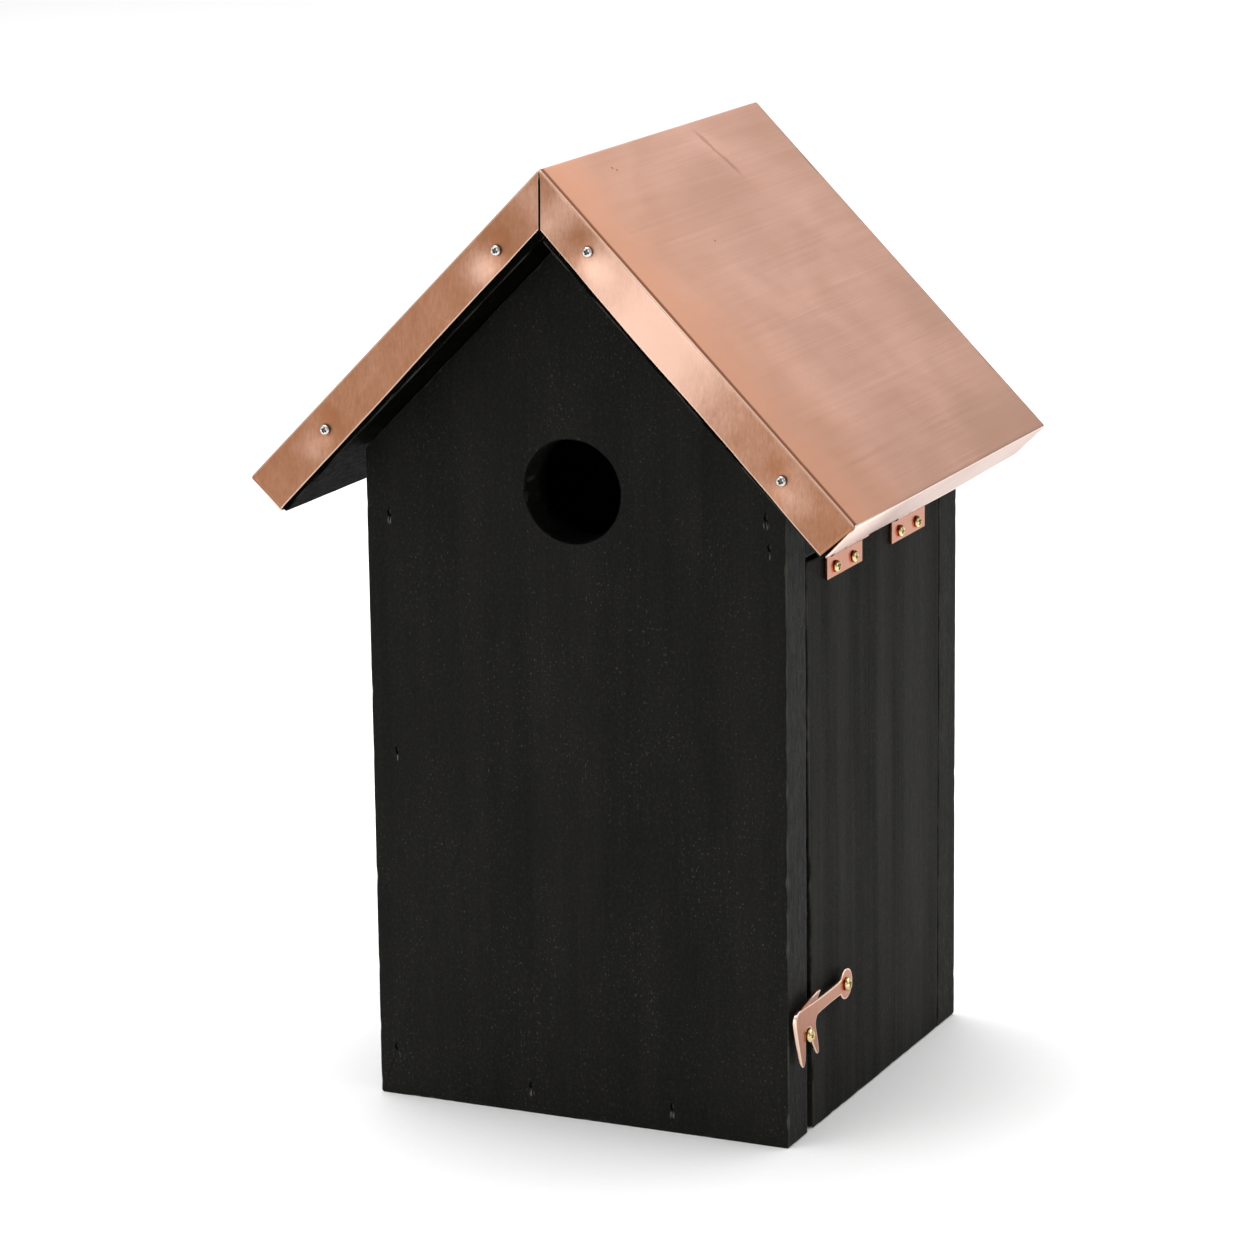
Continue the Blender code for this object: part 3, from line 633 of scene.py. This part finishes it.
def rim_of(corners, step, radius):
    """A closed outline walked in even steps, its corners turned by small arcs: points, and the
    direction that faces out of the outline at each."""
    corners = np.array(corners, float)
    ahead = np.roll(corners, -1, 0) - corners
    normals = np.stack([ahead[:, 1], -ahead[:, 0]], -1)
    normals /= np.linalg.norm(normals, axis=1, keepdims=True)
    before = np.roll(normals, 1, 0)
    spread = 1 + np.sum(before * normals, -1, keepdims=True)
    centres = corners - radius * (before + normals) / spread
    points, outward = [], []
    for i, centre in enumerate(centres):
        turn = np.linspace(0, 1, 6)[:, None]
        facing = before[i] * (1 - turn) + normals[i] * turn
        facing /= np.linalg.norm(facing, axis=1, keepdims=True)
        points.append(centre + radius * facing)
        outward.append(facing)
        start = centre + radius * normals[i]
        end = centres[(i + 1) % len(centres)] + radius * normals[i]
        count = max(2, int(np.linalg.norm(end - start) / step))
        share = np.linspace(0, 1, count + 1)[1:-1, None]
        points.append(start + (end - start) * share)
        outward.append(np.repeat(normals[i][None], len(share), 0))
    return np.concatenate(points), np.concatenate(outward)


def chipped_arris(rim, seed, chips):
    """The width of an eased arris along a rim: it wanders slowly, with small chips here and there,
    each a bell curve."""
    rng = np.random.default_rng(seed)
    steps = np.linalg.norm(np.roll(rim, -1, 0) - rim, axis=1)
    run = np.cumsum(steps)
    wander = lattice(np.stack([run, run * 0, run * 0], -1), (7 * MM, 1, 1), seed)
    fine = lattice(np.stack([run, run * 0, run * 0], -1), (2.3 * MM, 1, 1), seed + 1)
    width = ARRIS * (0.6 + 0.5 * wander + 0.4 * fine)
    for place in rng.uniform(0, run[-1], chips):
        size = rng.uniform(0.1, 0.5) * MM
        reach = rng.uniform(0.7, 2.0) * MM
        width = width + size * np.exp(-(((run - place) / reach) ** 2))
    return np.minimum(width, 0.85 * MM)


def board(name, corners, place, thickness, finish, replaced, body="house", hole=None, chips=26):
    """A sawn board. Rings run out from the middle of its face, or from the rim of its round hole,
    over a rounded and chipped arris, across the edge and back over the other face; a holed board's
    rings close through the hole's wall. Both faces wander in and out by a tenth of a millimetre."""
    seed = sum(ord(letter) for letter in name)
    rim, outward = rim_of(corners, BOARD_STEP, 0.9 * MM)
    rim = np.concatenate([rim, rim[:1]])
    outward = np.concatenate([outward, outward[:1]])
    middle = np.array(hole[0] if hole else np.mean(corners, 0))
    ray = rim - middle
    ray /= np.linalg.norm(ray, axis=1, keepdims=True)
    run = np.linspace(0, 1, len(rim))
    wear = 0.35 + 0.65 * lattice(np.stack([rim[:, 0], rim[:, 1], run * 0], -1), (6 * MM,) * 3, seed)
    rows, depths, wear_and_hole_shading = [], [], []

    def row(points, depth, wear_and_shading):
        """Adds one ring."""
        rows.append(points)
        depths.append(depth + 0 * run)
        wear_and_hole_shading.append(wear_and_shading + 0 * run)

    def face(depth, width, rings, inner_first):
        """Adds the rings of a flat face, from its middle to its arris or back."""
        eased = rim - outward * width[:, None]
        near = rim - outward * (width + 0.7 * MM)[:, None]
        start = middle + ray * (hole[1] + 0.6 * MM if hole else 0.0)
        shares = np.linspace(0, 1, rings)[:, None, None]
        sheets = list(start + (near - start) * shares)
        marks = [0.0] * len(sheets)
        sheets.append(eased)
        marks.append(0.5 * wear)
        order = range(len(sheets)) if inner_first else range(len(sheets) - 1, -1, -1)
        for i in order:
            row(sheets[i], depth, marks[i])

    width = chipped_arris(rim, seed, chips)
    width[-1] = width[0]
    back_width = chipped_arris(rim, seed + 7, chips // 2)
    back_width[-1] = back_width[0]
    chip_wear = np.clip(width / (0.9 * MM), 0, 1)
    face(0.0, width, 34, True)
    for angle in (22, 45, 68, 90):
        a = radians(angle)
        inset = width * (1 - sin(a))
        row(rim - outward * inset[:, None], width * (1 - cos(a)), np.maximum(wear, chip_wear))
    row(rim, width + 0.7 * MM, 0.0)
    for share in (0.25, 0.5, 0.75):
        row(rim, width + (thickness - width - back_width) * share, 0.0)
    row(rim, thickness - back_width - 0.7 * MM, 0.0)
    for angle in (90, 68, 45, 22):
        a = radians(angle)
        inset = back_width * (1 - sin(a))
        depth = thickness - back_width * (1 - cos(a))
        row(rim - outward * inset[:, None], depth, 0.8 * wear)
    face(thickness, back_width, 12, False)
    if hole:
        wall_rows = ((1.0, 0.25), (0.97, 0.0), (0.8, 0.0), (0.6, 0.0), (0.45, 0.0), (0.3, 0.0))
        wall_rows += ((0.15, 0.0), (0.03, 0.0), (0.0, 0.25))
        for share, flare in wall_rows:
            spots = np.stack([*(ray.T * hole[1]), run * 0 + share], -1)
            tool = lattice(spots, (2 * MM, 2 * MM, 0.2), 3)
            radius = hole[1] + flare * MM + 0.35 * MM * (tool - 0.5) * (0 < share < 1)
            # Painted light and shade on the hole's wall: a pale patch on its left side, where light
            # falls, and the rest marked dark
            lit = np.exp(-((np.arctan2(ray[:, 1], -ray[:, 0]) / 0.75) ** 2)) * (0 < share < 0.7)
            hole_wall_light_and_shade = -0.6 + lit * (0.75 + 1.6 * (tool - 0.5))
            row(middle + ray * (radius + 0 * run)[:, None], thickness * share, hole_wall_light_and_shade)
        rows.append(rows[0])
        depths.append(depths[0])
        wear_and_hole_shading.append(wear_and_hole_shading[0])
    flat = np.array(rows)
    depth = np.array(depths)
    wave = lattice(np.concatenate([flat, depth[..., None]], -1), (24 * MM, 37 * MM, 1), seed + 3)
    near_front = 1 - 2 * np.clip(depth / thickness, 0, 1)
    depth = depth + 0.16 * MM * wave * near_front
    points = place(flat[..., 0], flat[..., 1], depth)
    values = {"wear_and_hole_shading": [np.array(wear_and_hole_shading)]}
    mesh = welded(name, [np.stack(np.broadcast_arrays(*points), -1)], values)
    cutter = CUTTERS.get(name)
    if cutter:
        mesh = combined(mesh, cutter(), "DIFFERENCE")
    return piece(name, mesh, finish, body, replaced, 0.0, 38)


def gable_corners():
    """A gable wall's outline, anticlockwise from its lower left corner."""
    shoulder = GABLE_TOP - SIDE
    return [(-SIDE, 0), (SIDE, 0), (SIDE, shoulder), (0, GABLE_TOP), (-SIDE, shoulder)]


def nail_spots(where):
    """Where the heads of one wall's brads lie, as x and z."""
    names = [name for name in NODES if name.startswith(where + "_brad")]
    return [((low(name) + high(name)) / 2)[[0, 2]] for name in names]


def nail_holes(where, face, inward):
    """Ragged slots over the set brads: each a grid round an uneven long ellipse and down from
    above the face to a pole at its bottom, closed by a pole at its top."""
    angles = np.linspace(0, 2 * np.pi, 25)
    patches = []
    for number, (x, z) in enumerate(nail_spots(where)):
        rng = np.random.default_rng(40 + number)
        ragged = 1 + 0.12 * np.sin(3 * angles + rng.uniform(0, 6))
        ragged = ragged + 0.1 * np.sin(5 * angles + number)
        tall = rng.uniform(1.1, 1.4) * MM
        wide = rng.uniform(0.55, 0.70) * MM
        rows = []
        for depth, size in ((-1, 0), (-1, 1.15), (0, 1.1), (0.25, 0.95), (1.15, 0.85), (1.15, 0)):
            a = x + wide * size * ragged * np.cos(angles)
            b = z + tall * size * ragged * np.sin(angles)
            rows.append(np.stack([a, a * 0 + face + inward * depth * MM, b], -1))
        patches.append(np.array(rows))
    return welded("nail_holes", patches)


def keyhole():
    """The hanging hole, carried through the back wall: a round entry with a narrower slot above."""
    rest = KEYHOLE[1] + KEYHOLE_RISE
    neck = np.arcsin(KEYHOLE_SLOT / KEYHOLE_RADIUS)
    entry = np.linspace(np.pi / 2 + neck, 2.5 * np.pi - neck, 49)
    slot = np.linspace(0, np.pi, 25)
    x = np.concatenate([KEYHOLE_RADIUS * np.cos(entry), KEYHOLE_SLOT * np.cos(slot)])
    z = np.concatenate(
        [KEYHOLE[1] + KEYHOLE_RADIUS * np.sin(entry), rest + KEYHOLE_SLOT * np.sin(slot)]
    )
    x, z = (np.append(values, values[0]) for values in (x, z))
    rows = []
    for y in (BACK - BOARD - MM, BACK + MM):
        rows.append(np.stack([x, x * 0 + y, z], -1))
    grid = np.array(rows)
    count = grid.shape[1]
    caps = (range(count - 1), range(count, 2 * count - 1))
    return welded("keyhole", [grid], caps=caps)


def back_wall_cuts():
    """Everything cut from the back wall."""
    return combined(keyhole(), nail_holes("back", BACK, -1), "UNION")


CUTTERS = {
    "front_wall": lambda: nail_holes("front", FRONT, 1),
    "back_wall": back_wall_cuts,
}


def slanted(base, height):
    """A wall board's place on the side: the wall's top edge slants up with the roof, so heights
    above the base grow by the depth into the board."""

    def place(side, y, z, depth):
        share = (z - base) / (height - base)
        return side * (SIDE - depth), y, z + depth * share

    return place


def boards(woods):
    """All the boards that show, each over the solid that holds its place."""
    gable = gable_corners()
    board(
        "front_wall",
        gable,
        lambda x, z, depth: (x, FRONT + depth, z),
        BOARD,
        woods["front_panel"],
        ["front_panel"],
        hole=(ENTRANCE, ENTRANCE_RADIUS),
        chips=44,
    )
    board(
        "back_wall",
        gable,
        lambda x, z, depth: (x, BACK - depth, z),
        BOARD,
        woods["back_panel"],
        ["back_panel"],
        chips=44,
    )
    front, back, base, top = DOOR_LOW[1], DOOR_HIGH[1], DOOR_LOW[2], DOOR_HIGH[2]
    board(
        "door_board",
        [(front + DOOR_SKEW, base), (back, base), (back, top), (front, top)],
        lambda y, z, depth: (SIDE - depth, y, z),
        BOARD,
        woods["door_panel"],
        ["door_panel"],
        "door",
        chips=34,
    )
    shoulder = GABLE_TOP - SIDE
    inner = (low("left_side_panel")[1], high("left_side_panel")[1])
    sides = {
        "left_wall": (-1, 0.0, "left_side_panel"),
        "top_rail": (1, RAIL_LOW[2], "door_top_rail"),
    }
    for name, (side, start, node) in sides.items():
        place = slanted(start, shoulder)
        board(
            name,
            [(inner[0], start), (inner[1], start), (inner[1], shoulder), (inner[0], shoulder)],
            lambda y, z, depth: place(side, y, z, depth),
            BOARD,
            woods[node],
            [node],
        )
    start, end = low("roof_board_left")[1], high("roof_board_left")[1]
    eave = SLOPE - ROOF_BOARD_TOP
    for side, first, where in ((-1, ROOF_BOARD_TOP, "left"), (1, RIDGE_BUTT, "right")):
        board(
            "roof_" + where + "_board",
            [(first, start), (eave, start), (eave, end), (first, end)],
            lambda down, y, depth: on_roof(side, down, ROOF_BOARD_TOP + depth, y).transpose(2, 0, 1),
            ROOF_BOARD_UNDER - ROOF_BOARD_TOP,
            woods["roof_board_" + where],
            ["roof_board_" + where],
        )


# --------------------------------------------------------------------------------------
# Hinges and hook


def arc(centre, radius, start, end, steps):
    """Points along an arc, with its angles in degrees from the first axis."""
    turn = np.radians(np.linspace(start, end, steps + 1))[:, None]
    return np.array(centre) + radius * np.concatenate([np.cos(turn), np.sin(turn)], 1)


def hook_outline():
    """The hook's outline in millimetres back from the front face and up from the ground: eye,
    elbow, front prong, the slot over the catch, back prong and inner elbow. Two rounds of corner
    cutting, a quarter in from each end of each side, smooth it."""
    runs = [
        arc((40.1, 41.4), 4.9, -154, 154, 40),
        [(17.0, 43.3), (2.6, 43.9), (0.4, 43.2), (-0.7, 41.8), (-0.9, 39.6)],
        [(3.7, 26.0), (4.3, 25.2), (5.3, 24.8), (6.4, 25.5), (6.9, 27.2)],
        arc((9.45, 34.0), 2.45, 180, 0, 24),
        [(12.1, 31.0), (14.6, 27.6), (15.7, 26.2), (16.9, 25.8), (17.8, 26.9)],
        [(15.6, 33.7), (14.9, 35.9), (15.5, 37.7), (17.0, 38.8)],
    ]
    points = np.concatenate([np.array(run, float) for run in runs])
    for _ in range(2):
        ahead = np.roll(points, -1, 0)
        cut = np.stack([0.75 * points + 0.25 * ahead, 0.25 * points + 0.75 * ahead], 1)
        points = cut.reshape(-1, 2)
    return points * MM


def latch_hook(finish):
    """The swing hook: its outline carried through the plate's thickness over rounded edges and
    closed by a flat face each side, with the eye cut out and the thumb lip joined on. The lip is
    a long superellipse section carried up a line that leans out."""
    inner, outer = SIDE + 1.7 * MM, SIDE + 2.9 * MM
    outline = hook_outline()
    along = np.roll(outline, -1, 0) - np.roll(outline, 1, 0)
    outward = np.stack([along[:, 1], -along[:, 0]], -1)
    outward /= np.linalg.norm(outward, axis=1, keepdims=True)
    ease = 0.28 * MM
    # The eased rows carry a painted highlight along the hook's edges
    rows = [(0.5 * MM, outer, 0.0)]
    rows += [(ease * (1 - sin(a)), outer - ease * (1 - cos(a)), 1.0) for a in RIGHT_TURN]
    rows += [(ease * (1 - sin(a)), inner + ease * (1 - cos(a)), 1.0) for a in RIGHT_TURN[::-1]]
    rows += [(0.5 * MM, inner, 0.0)]
    points, bright = [], []
    for inset, x, edge in rows:
        ring = outline - outward * inset
        ring = np.concatenate([ring, ring[:1]])
        points.append(np.stack([0 * ring[:, 0] + x, FRONT + ring[:, 0], ring[:, 1]], -1))
        bright.append(np.full(len(ring), edge))
    grid = np.array(points)
    count = grid.shape[1]
    last = (len(rows) - 1) * count
    caps = (range(count - 1), range(last, last + count - 1))
    mesh = welded("latch_hook_fine", [grid], {"edge": [np.array(bright)]}, caps)
    around = np.linspace(0, 2 * np.pi, 49)
    rings, bright = [], []
    for z, first, last, lean, size in LIP_ROWS:
        half = (last - first) / 2 * size
        y = (first + last) / 2 + half * np.sign(np.cos(around)) * np.abs(np.cos(around)) ** 0.3
        x = lean + 0.6 + 0.5 * size * np.sign(np.sin(around)) * np.abs(np.sin(around)) ** 0.5
        rings.append(np.stack([inner + x * MM, FRONT + y * MM, 0 * x + z * MM], -1))
        # A painted highlight along the lip's upper edge
        bright.append(np.full(len(around), 1.0 if z > 46.2 else 0.0))
    lip = welded("lip", [np.array(rings)], {"edge": [np.array(bright)]})
    mesh = combined(mesh, lip, "UNION")
    eye = arc((40.1 * MM, 41.4 * MM), 1.55 * MM, 0, 360, 40)
    tube = []
    for x in (inner - MM, outer + MM):
        tube.append(np.stack([0 * eye[:, 0] + x, FRONT + eye[:, 0], eye[:, 1]], -1))
    caps = (range(40), range(41, 81))
    mesh = combined(mesh, welded("eye", [np.array(tube)], caps=caps), "DIFFERENCE")
    return piece("latch_hook_fine", mesh, finish, "latch", ["latch_hook"], 0.0, 40)


RIGHT_TURN = [radians(angle) for angle in (0, 30, 60, 90)]

# The thumb lip's sections from its root up: height, first and last place back from the front
# face, lean outwards, and size
LIP_ROWS = (
    (42.4, 3.4, 17.0, 0.0, 0.0),
    (42.4, 3.4, 17.0, 0.0, 1.0),
    (43.4, 2.6, 17.4, 0.05, 1.0),
    (44.4, 5.6, 17.4, 0.25, 1.0),
    (45.4, 8.8, 17.3, 0.6, 1.0),
    (46.3, 11.6, 17.2, 0.95, 0.95),
    (46.75, 13.2, 17.1, 1.15, 0.7),
    (46.9, 14.2, 16.9, 1.2, 0.0),
)


def hinge_leaves(finish):
    """Each leaf with its knuckles, its solid's faces merged and every edge eased."""
    for node in sorted(name for name in NODES if name.endswith("leaf")):
        mesh = NODES[node].data.copy()
        bm = bmesh.new()
        bm.from_mesh(mesh)
        bmesh.ops.remove_doubles(bm, verts=bm.verts, dist=0.002 * MM)
        edges, verts = bm.edges, bm.verts
        bmesh.ops.dissolve_limit(bm, angle_limit=radians(1), verts=verts, edges=edges)
        bm.to_mesh(mesh)
        bm.free()
        body = NODES[node]["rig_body"]
        made = piece(node + "_fine", mesh, finish, body, [node], 0.0, 60)
        eased = made.modifiers.new("eased", "BEVEL")
        eased.width = 0.13 * MM
        eased.segments = 2
        eased.limit_method = "ANGLE"
        eased.angle_limit = radians(40)


# --------------------------------------------------------------------------------------
# Fasteners


def screw(node, finish, body, head, dome, shank, grind):
    """A round-head screw: height is a function of radius and angle over the head, a low dome with a
    soft-edged cross sunk into it, marked for painted shade; then rim, neck, threaded shank and
    point, turned about the axis."""
    corner, far = low(node), high(node)
    middle = (corner + far) / 2
    along = int(np.argmax(far - corner))
    sign = -1 if (along == 1 and middle[1] < 0) else 1
    tip = far[along] if sign > 0 else corner[along]
    length = far[along] - corner[along] - dome
    angles = np.linspace(0, 2 * np.pi, 65)[None, :]
    share = np.concatenate([np.linspace(0, 0.9, 22), [0.95, 0.985, 1.0, 1.0, 0.97]])[:, None]
    radius = head * share
    height = dome * (0.16 + 0.84 * np.sqrt(np.clip(1 - share**2.2, 0, 1)))
    height[-2:] = [[0.04 * dome], [0.0]]
    u = radius * np.cos(angles + grind)
    v = radius * np.sin(angles + grind)
    narrow = np.minimum(np.abs(u), np.abs(v)) / (0.20 * head)
    reach = np.maximum(np.abs(u), np.abs(v)) / (0.62 * head)
    cross = np.clip(1.6 - narrow**2, 0, 1) * np.clip((1 - reach) * 3.2, 0, 1)
    height = height - 0.62 * dome * cross + 0 * angles
    neck = [(shank, 0.0), (shank, -0.4 * MM)]
    turns = np.linspace(-0.5 * MM, -length + 2.2 * shank, 90)
    tail = [(shank * 0.6, -length + 1.2 * shank), (0.0, -length)]
    plain = np.array(neck + [(shank, z) for z in turns] + tail)
    ring = plain[:, :1] + 0 * angles
    thread = 0.13 * shank * np.cos(2 * np.pi * (plain[:, 1:] / (0.85 * MM) + angles / (2 * np.pi)))
    threaded = (plain[:, 1:] < -4 * MM) & (plain[:, 0:1] >= shank)
    ring = ring + np.where(threaded, thread - 0.13 * shank, 0.0)
    all_radii = np.concatenate([radius + 0 * angles, ring])
    heights = np.concatenate([height, plain[:, 1:] + 0 * angles])
    # The sunk cross is marked for painted shade
    cross_shade = np.concatenate([cross * 0.85, 0 * ring])
    base = tip - sign * dome
    a = all_radii * np.cos(angles)
    b = all_radii * np.sin(angles)
    others = [axis for axis in range(3) if axis != along]
    points = np.zeros((*a.shape, 3))
    points[..., others[0]] = middle[others[0]] + a
    points[..., others[1]] = middle[others[1]] + b
    points[..., along] = base + sign * heights
    mesh = welded(node + "_fine", [points], {"cross_shade": [cross_shade]})
    return piece(node + "_fine", mesh, finish, body, [node], 0.0, 50)


def screws(brass, zinc):
    """Every screw, with its cross turned a different way."""
    kinds = {
        "roof_": (1.6 * MM, 1.0 * MM, 0.9 * MM, zinc, "zinc_steel"),
        "hinge_": (1.9 * MM, 1.25 * MM, 1.0 * MM, brass, "brass"),
        "latch_": (2.15 * MM, 1.5 * MM, 1.4 * MM, brass, "brass"),
    }
    rng = np.random.default_rng(8)
    for node in sorted(name for name in NODES if "screw" in name):
        head, dome, shank, finish, slot = next(kinds[key] for key in kinds if node.startswith(key))
        turn = rng.uniform(0, np.pi / 2)
        screw(node, finish, NODES[node]["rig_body"], head, dome, shank, turn)


# --------------------------------------------------------------------------------------
# The studio


def camera():
    """Long-lens view from the front right and a little above."""
    azimuth, elevation, roll = radians(24.6692), radians(13.6065), radians(-0.7221)
    distance = 1.52612
    aim = Vector((-0.01498, 0.0, 0.14063))
    away = Vector((sin(azimuth) * cos(elevation), -cos(azimuth) * cos(elevation), sin(elevation)))
    level = Vector((cos(azimuth), sin(azimuth), 0))
    rise = away.cross(level)
    right = level * cos(roll) + rise * sin(roll)
    upward = rise * cos(roll) - level * sin(roll)
    data = bpy.data.cameras.new("camera")
    data.sensor_width = 36.0
    data.lens = 137.26
    data.clip_start = 0.05
    data.clip_end = 60.0
    made = bpy.data.objects.new("camera", data)
    turn = Matrix((right, upward, away)).transposed()
    made.matrix_world = Matrix.Translation(aim + away * distance) @ turn.to_4x4()
    bpy.context.scene.collection.objects.link(made)
    bpy.context.scene.camera = made


def soft_light(name, place, aim, size, power):
    """A rectangular softbox turned to face a point."""
    data = bpy.data.lights.new(name, "AREA")
    data.shape = "RECTANGLE"
    data.size, data.size_y = size
    data.energy = power
    made = bpy.data.objects.new(name, data)
    made.location = place
    made.rotation_mode = "QUATERNION"
    made.rotation_quaternion = (Vector(aim) - Vector(place)).to_track_quat("-Z", "Y")
    bpy.context.scene.collection.objects.link(made)


def surroundings():
    """The room round the table: dark overhead and below, bright at window height, brightest
    towards the front left."""
    world = bpy.data.worlds.new("studio")
    world.use_nodes = True
    tree = world.node_tree
    sky = tree.nodes["Background"]
    direction = tree.nodes.new("ShaderNodeTexCoord").outputs["Generated"]
    split = tree.nodes.new("ShaderNodeSeparateXYZ")
    tree.links.new(direction, split.inputs[0])
    height = tree.nodes.new("ShaderNodeValToRGB")
    stops = ((0.0, 0.15), (0.02, 0.62), (0.30, 0.66), (0.62, 0.42), (1.0, 0.25))
    ramp = height.color_ramp
    while len(ramp.elements) < len(stops):
        ramp.elements.new(0.5)
    for stop, (position, level) in zip(ramp.elements, stops):
        stop.position = position
        stop.color = (level, level, level, 1.0)
    tree.links.new(split.outputs[2], height.inputs[0])
    towards = tree.nodes.new("ShaderNodeVectorMath")
    towards.operation = "DOT_PRODUCT"
    towards.inputs[1].default_value = (-0.42, -0.90, 0.1)
    tree.links.new(direction, towards.inputs[0])
    window = tree.nodes.new("ShaderNodeMapRange")
    window.interpolation_type = "SMOOTHSTEP"
    for index, value in ((1, 0.5), (2, 1.0), (3, 0.85), (4, 2.6)):
        window.inputs[index].default_value = value
    tree.links.new(towards.outputs["Value"], window.inputs[0])
    tree.links.new(height.outputs[0], sky.inputs["Color"])
    tree.links.new(window.outputs[0], sky.inputs["Strength"])
    bpy.context.scene.world = world


def studio():
    """A flat white floor under a broad overhead softbox that reaches back over it, a key light and a
    side one.
    """
    scene = bpy.context.scene
    scene.view_settings.view_transform = "Standard"
    surroundings()
    paper = Finish("floor_paper")
    fibres = paper.noise((300, 300, 300), 3.0)
    shade = paper.mix(fibres, (0.93, 0.93, 0.93), (0.96, 0.96, 0.96))
    reach = np.linspace(-6, 6, 7)
    x, y = np.meshgrid(reach, reach)
    mesh = bpy.data.meshes.new("floor")
    points = np.stack([x, y, x * 0], -1).reshape(-1, 3)
    mesh.from_pydata(points.tolist(), [], grid_faces(7, 7))
    mesh.materials.append(paper.set(Base_Color=shade, Roughness=0.9, Specular_IOR_Level=0.2))
    sweep = bpy.data.objects.new("floor", mesh)
    scene.collection.objects.link(sweep)
    soft_light("overhead", (0.2, 1.45, 2.2), (0.2, 1.45, 0), (5.2, 3.6), 105)
    soft_light("key", (-0.25, -0.15, 1.25), (-0.05, -0.05, 0), (0.9, 0.9), 8.5)
    soft_light("side", (1.6, 0.1, 0.9), (0, 0, 0.10), (0.7, 0.9), 2.0)


def build():
    """Makes the finishes, then every piece that has one, then the studio."""
    # Which way each board's grain runs, where its pattern starts, how pale it is, how strongly
    # it is banded, and its sheen
    grains = {
        "front_panel": ("z", (0.3, 0.1, 0.7), 0.92, 0.7, 0.11),
        "back_panel": ("z", (1.3, 2.1, 0.2), 1.4, 1.0, 0.05),
        "left_side_panel": ("z", (2.3, 0.6, 1.7), 0.9, 1.0, 0.11),
        # The door's paler tone stands in for the sheen it is given little of, as painted sheen
        "door_panel": ("z", (3.1, 1.4, 0.4), 1.75, 1.7, 0.03),
        "door_top_rail": ("y", (4.3, 1.1, 0.7), 0.6, 1.0, 0.08),
        "floor_panel": ("x", (0.9, 3.1, 0.7), 0.8, 1.0, 0.11),
        # The roof boards are painted darker, with hardly any sheen, as shade under the roof
        "roof_board_left": ("y", (0.3, 2.6, 1.7), 0.25, 1.0, 0.01),
        "roof_board_right": ("y", (2.9, 0.1, 3.7), 0.25, 1.0, 0.01),
    }
    woods = {}
    for node, (grain, shift, tone, banding, sheen) in grains.items():
        nails = ()
        if node == "front_panel":
            nails = [(x, FRONT, z - 2.6 * MM) for x, z in nail_spots("front")]
        name = node + "_stain"
        woods[node] = stained_wood(name, grain, shift, tone, banding, sheen, nails)
        NODES[node].data.materials[0] = woods[node]
    pink = (0.66, 0.405, 0.325)
    deep = (0.60, 0.33, 0.235)
    sheet = brushed_copper("sheet_copper", "y", (0.2, 0.4, 0.9), deep, pink, 0.27, 1.0, roof_marks)
    red, orange = (0.36, 0.135, 0.070), (0.45, 0.20, 0.125)
    fittings = brushed_copper(
        "fitting_copper", "z", (1.2, 0.7, 0.1), red, orange, 0.13, 0.6, fitting_marks
    )
    brass = bright_metal("screw_brass", (0.85, 0.68, 0.36), (0.66, 0.47, 0.22), 0.14, (0, 0, 0))
    zinc = bright_metal("screw_zinc", (0.75, 0.74, 0.72), (0.40, 0.39, 0.38), 0.16, (1, 0, 0))
    brads = bright_metal("stained_brad", (0.05, 0.048, 0.042), (0.02, 0.02, 0.018), 0.5, (2, 0, 0))
    for name, node in NODES.items():
        if "brad" in name:
            node.data.materials[0] = brads
        elif name not in grains:
            node.data.materials[0] = fittings
    boards(woods)
    roof_sheet(sheet)
    screws(brass, zinc)
    latch_hook(fittings)
    hinge_leaves(fittings)
    camera()
    studio()


build()
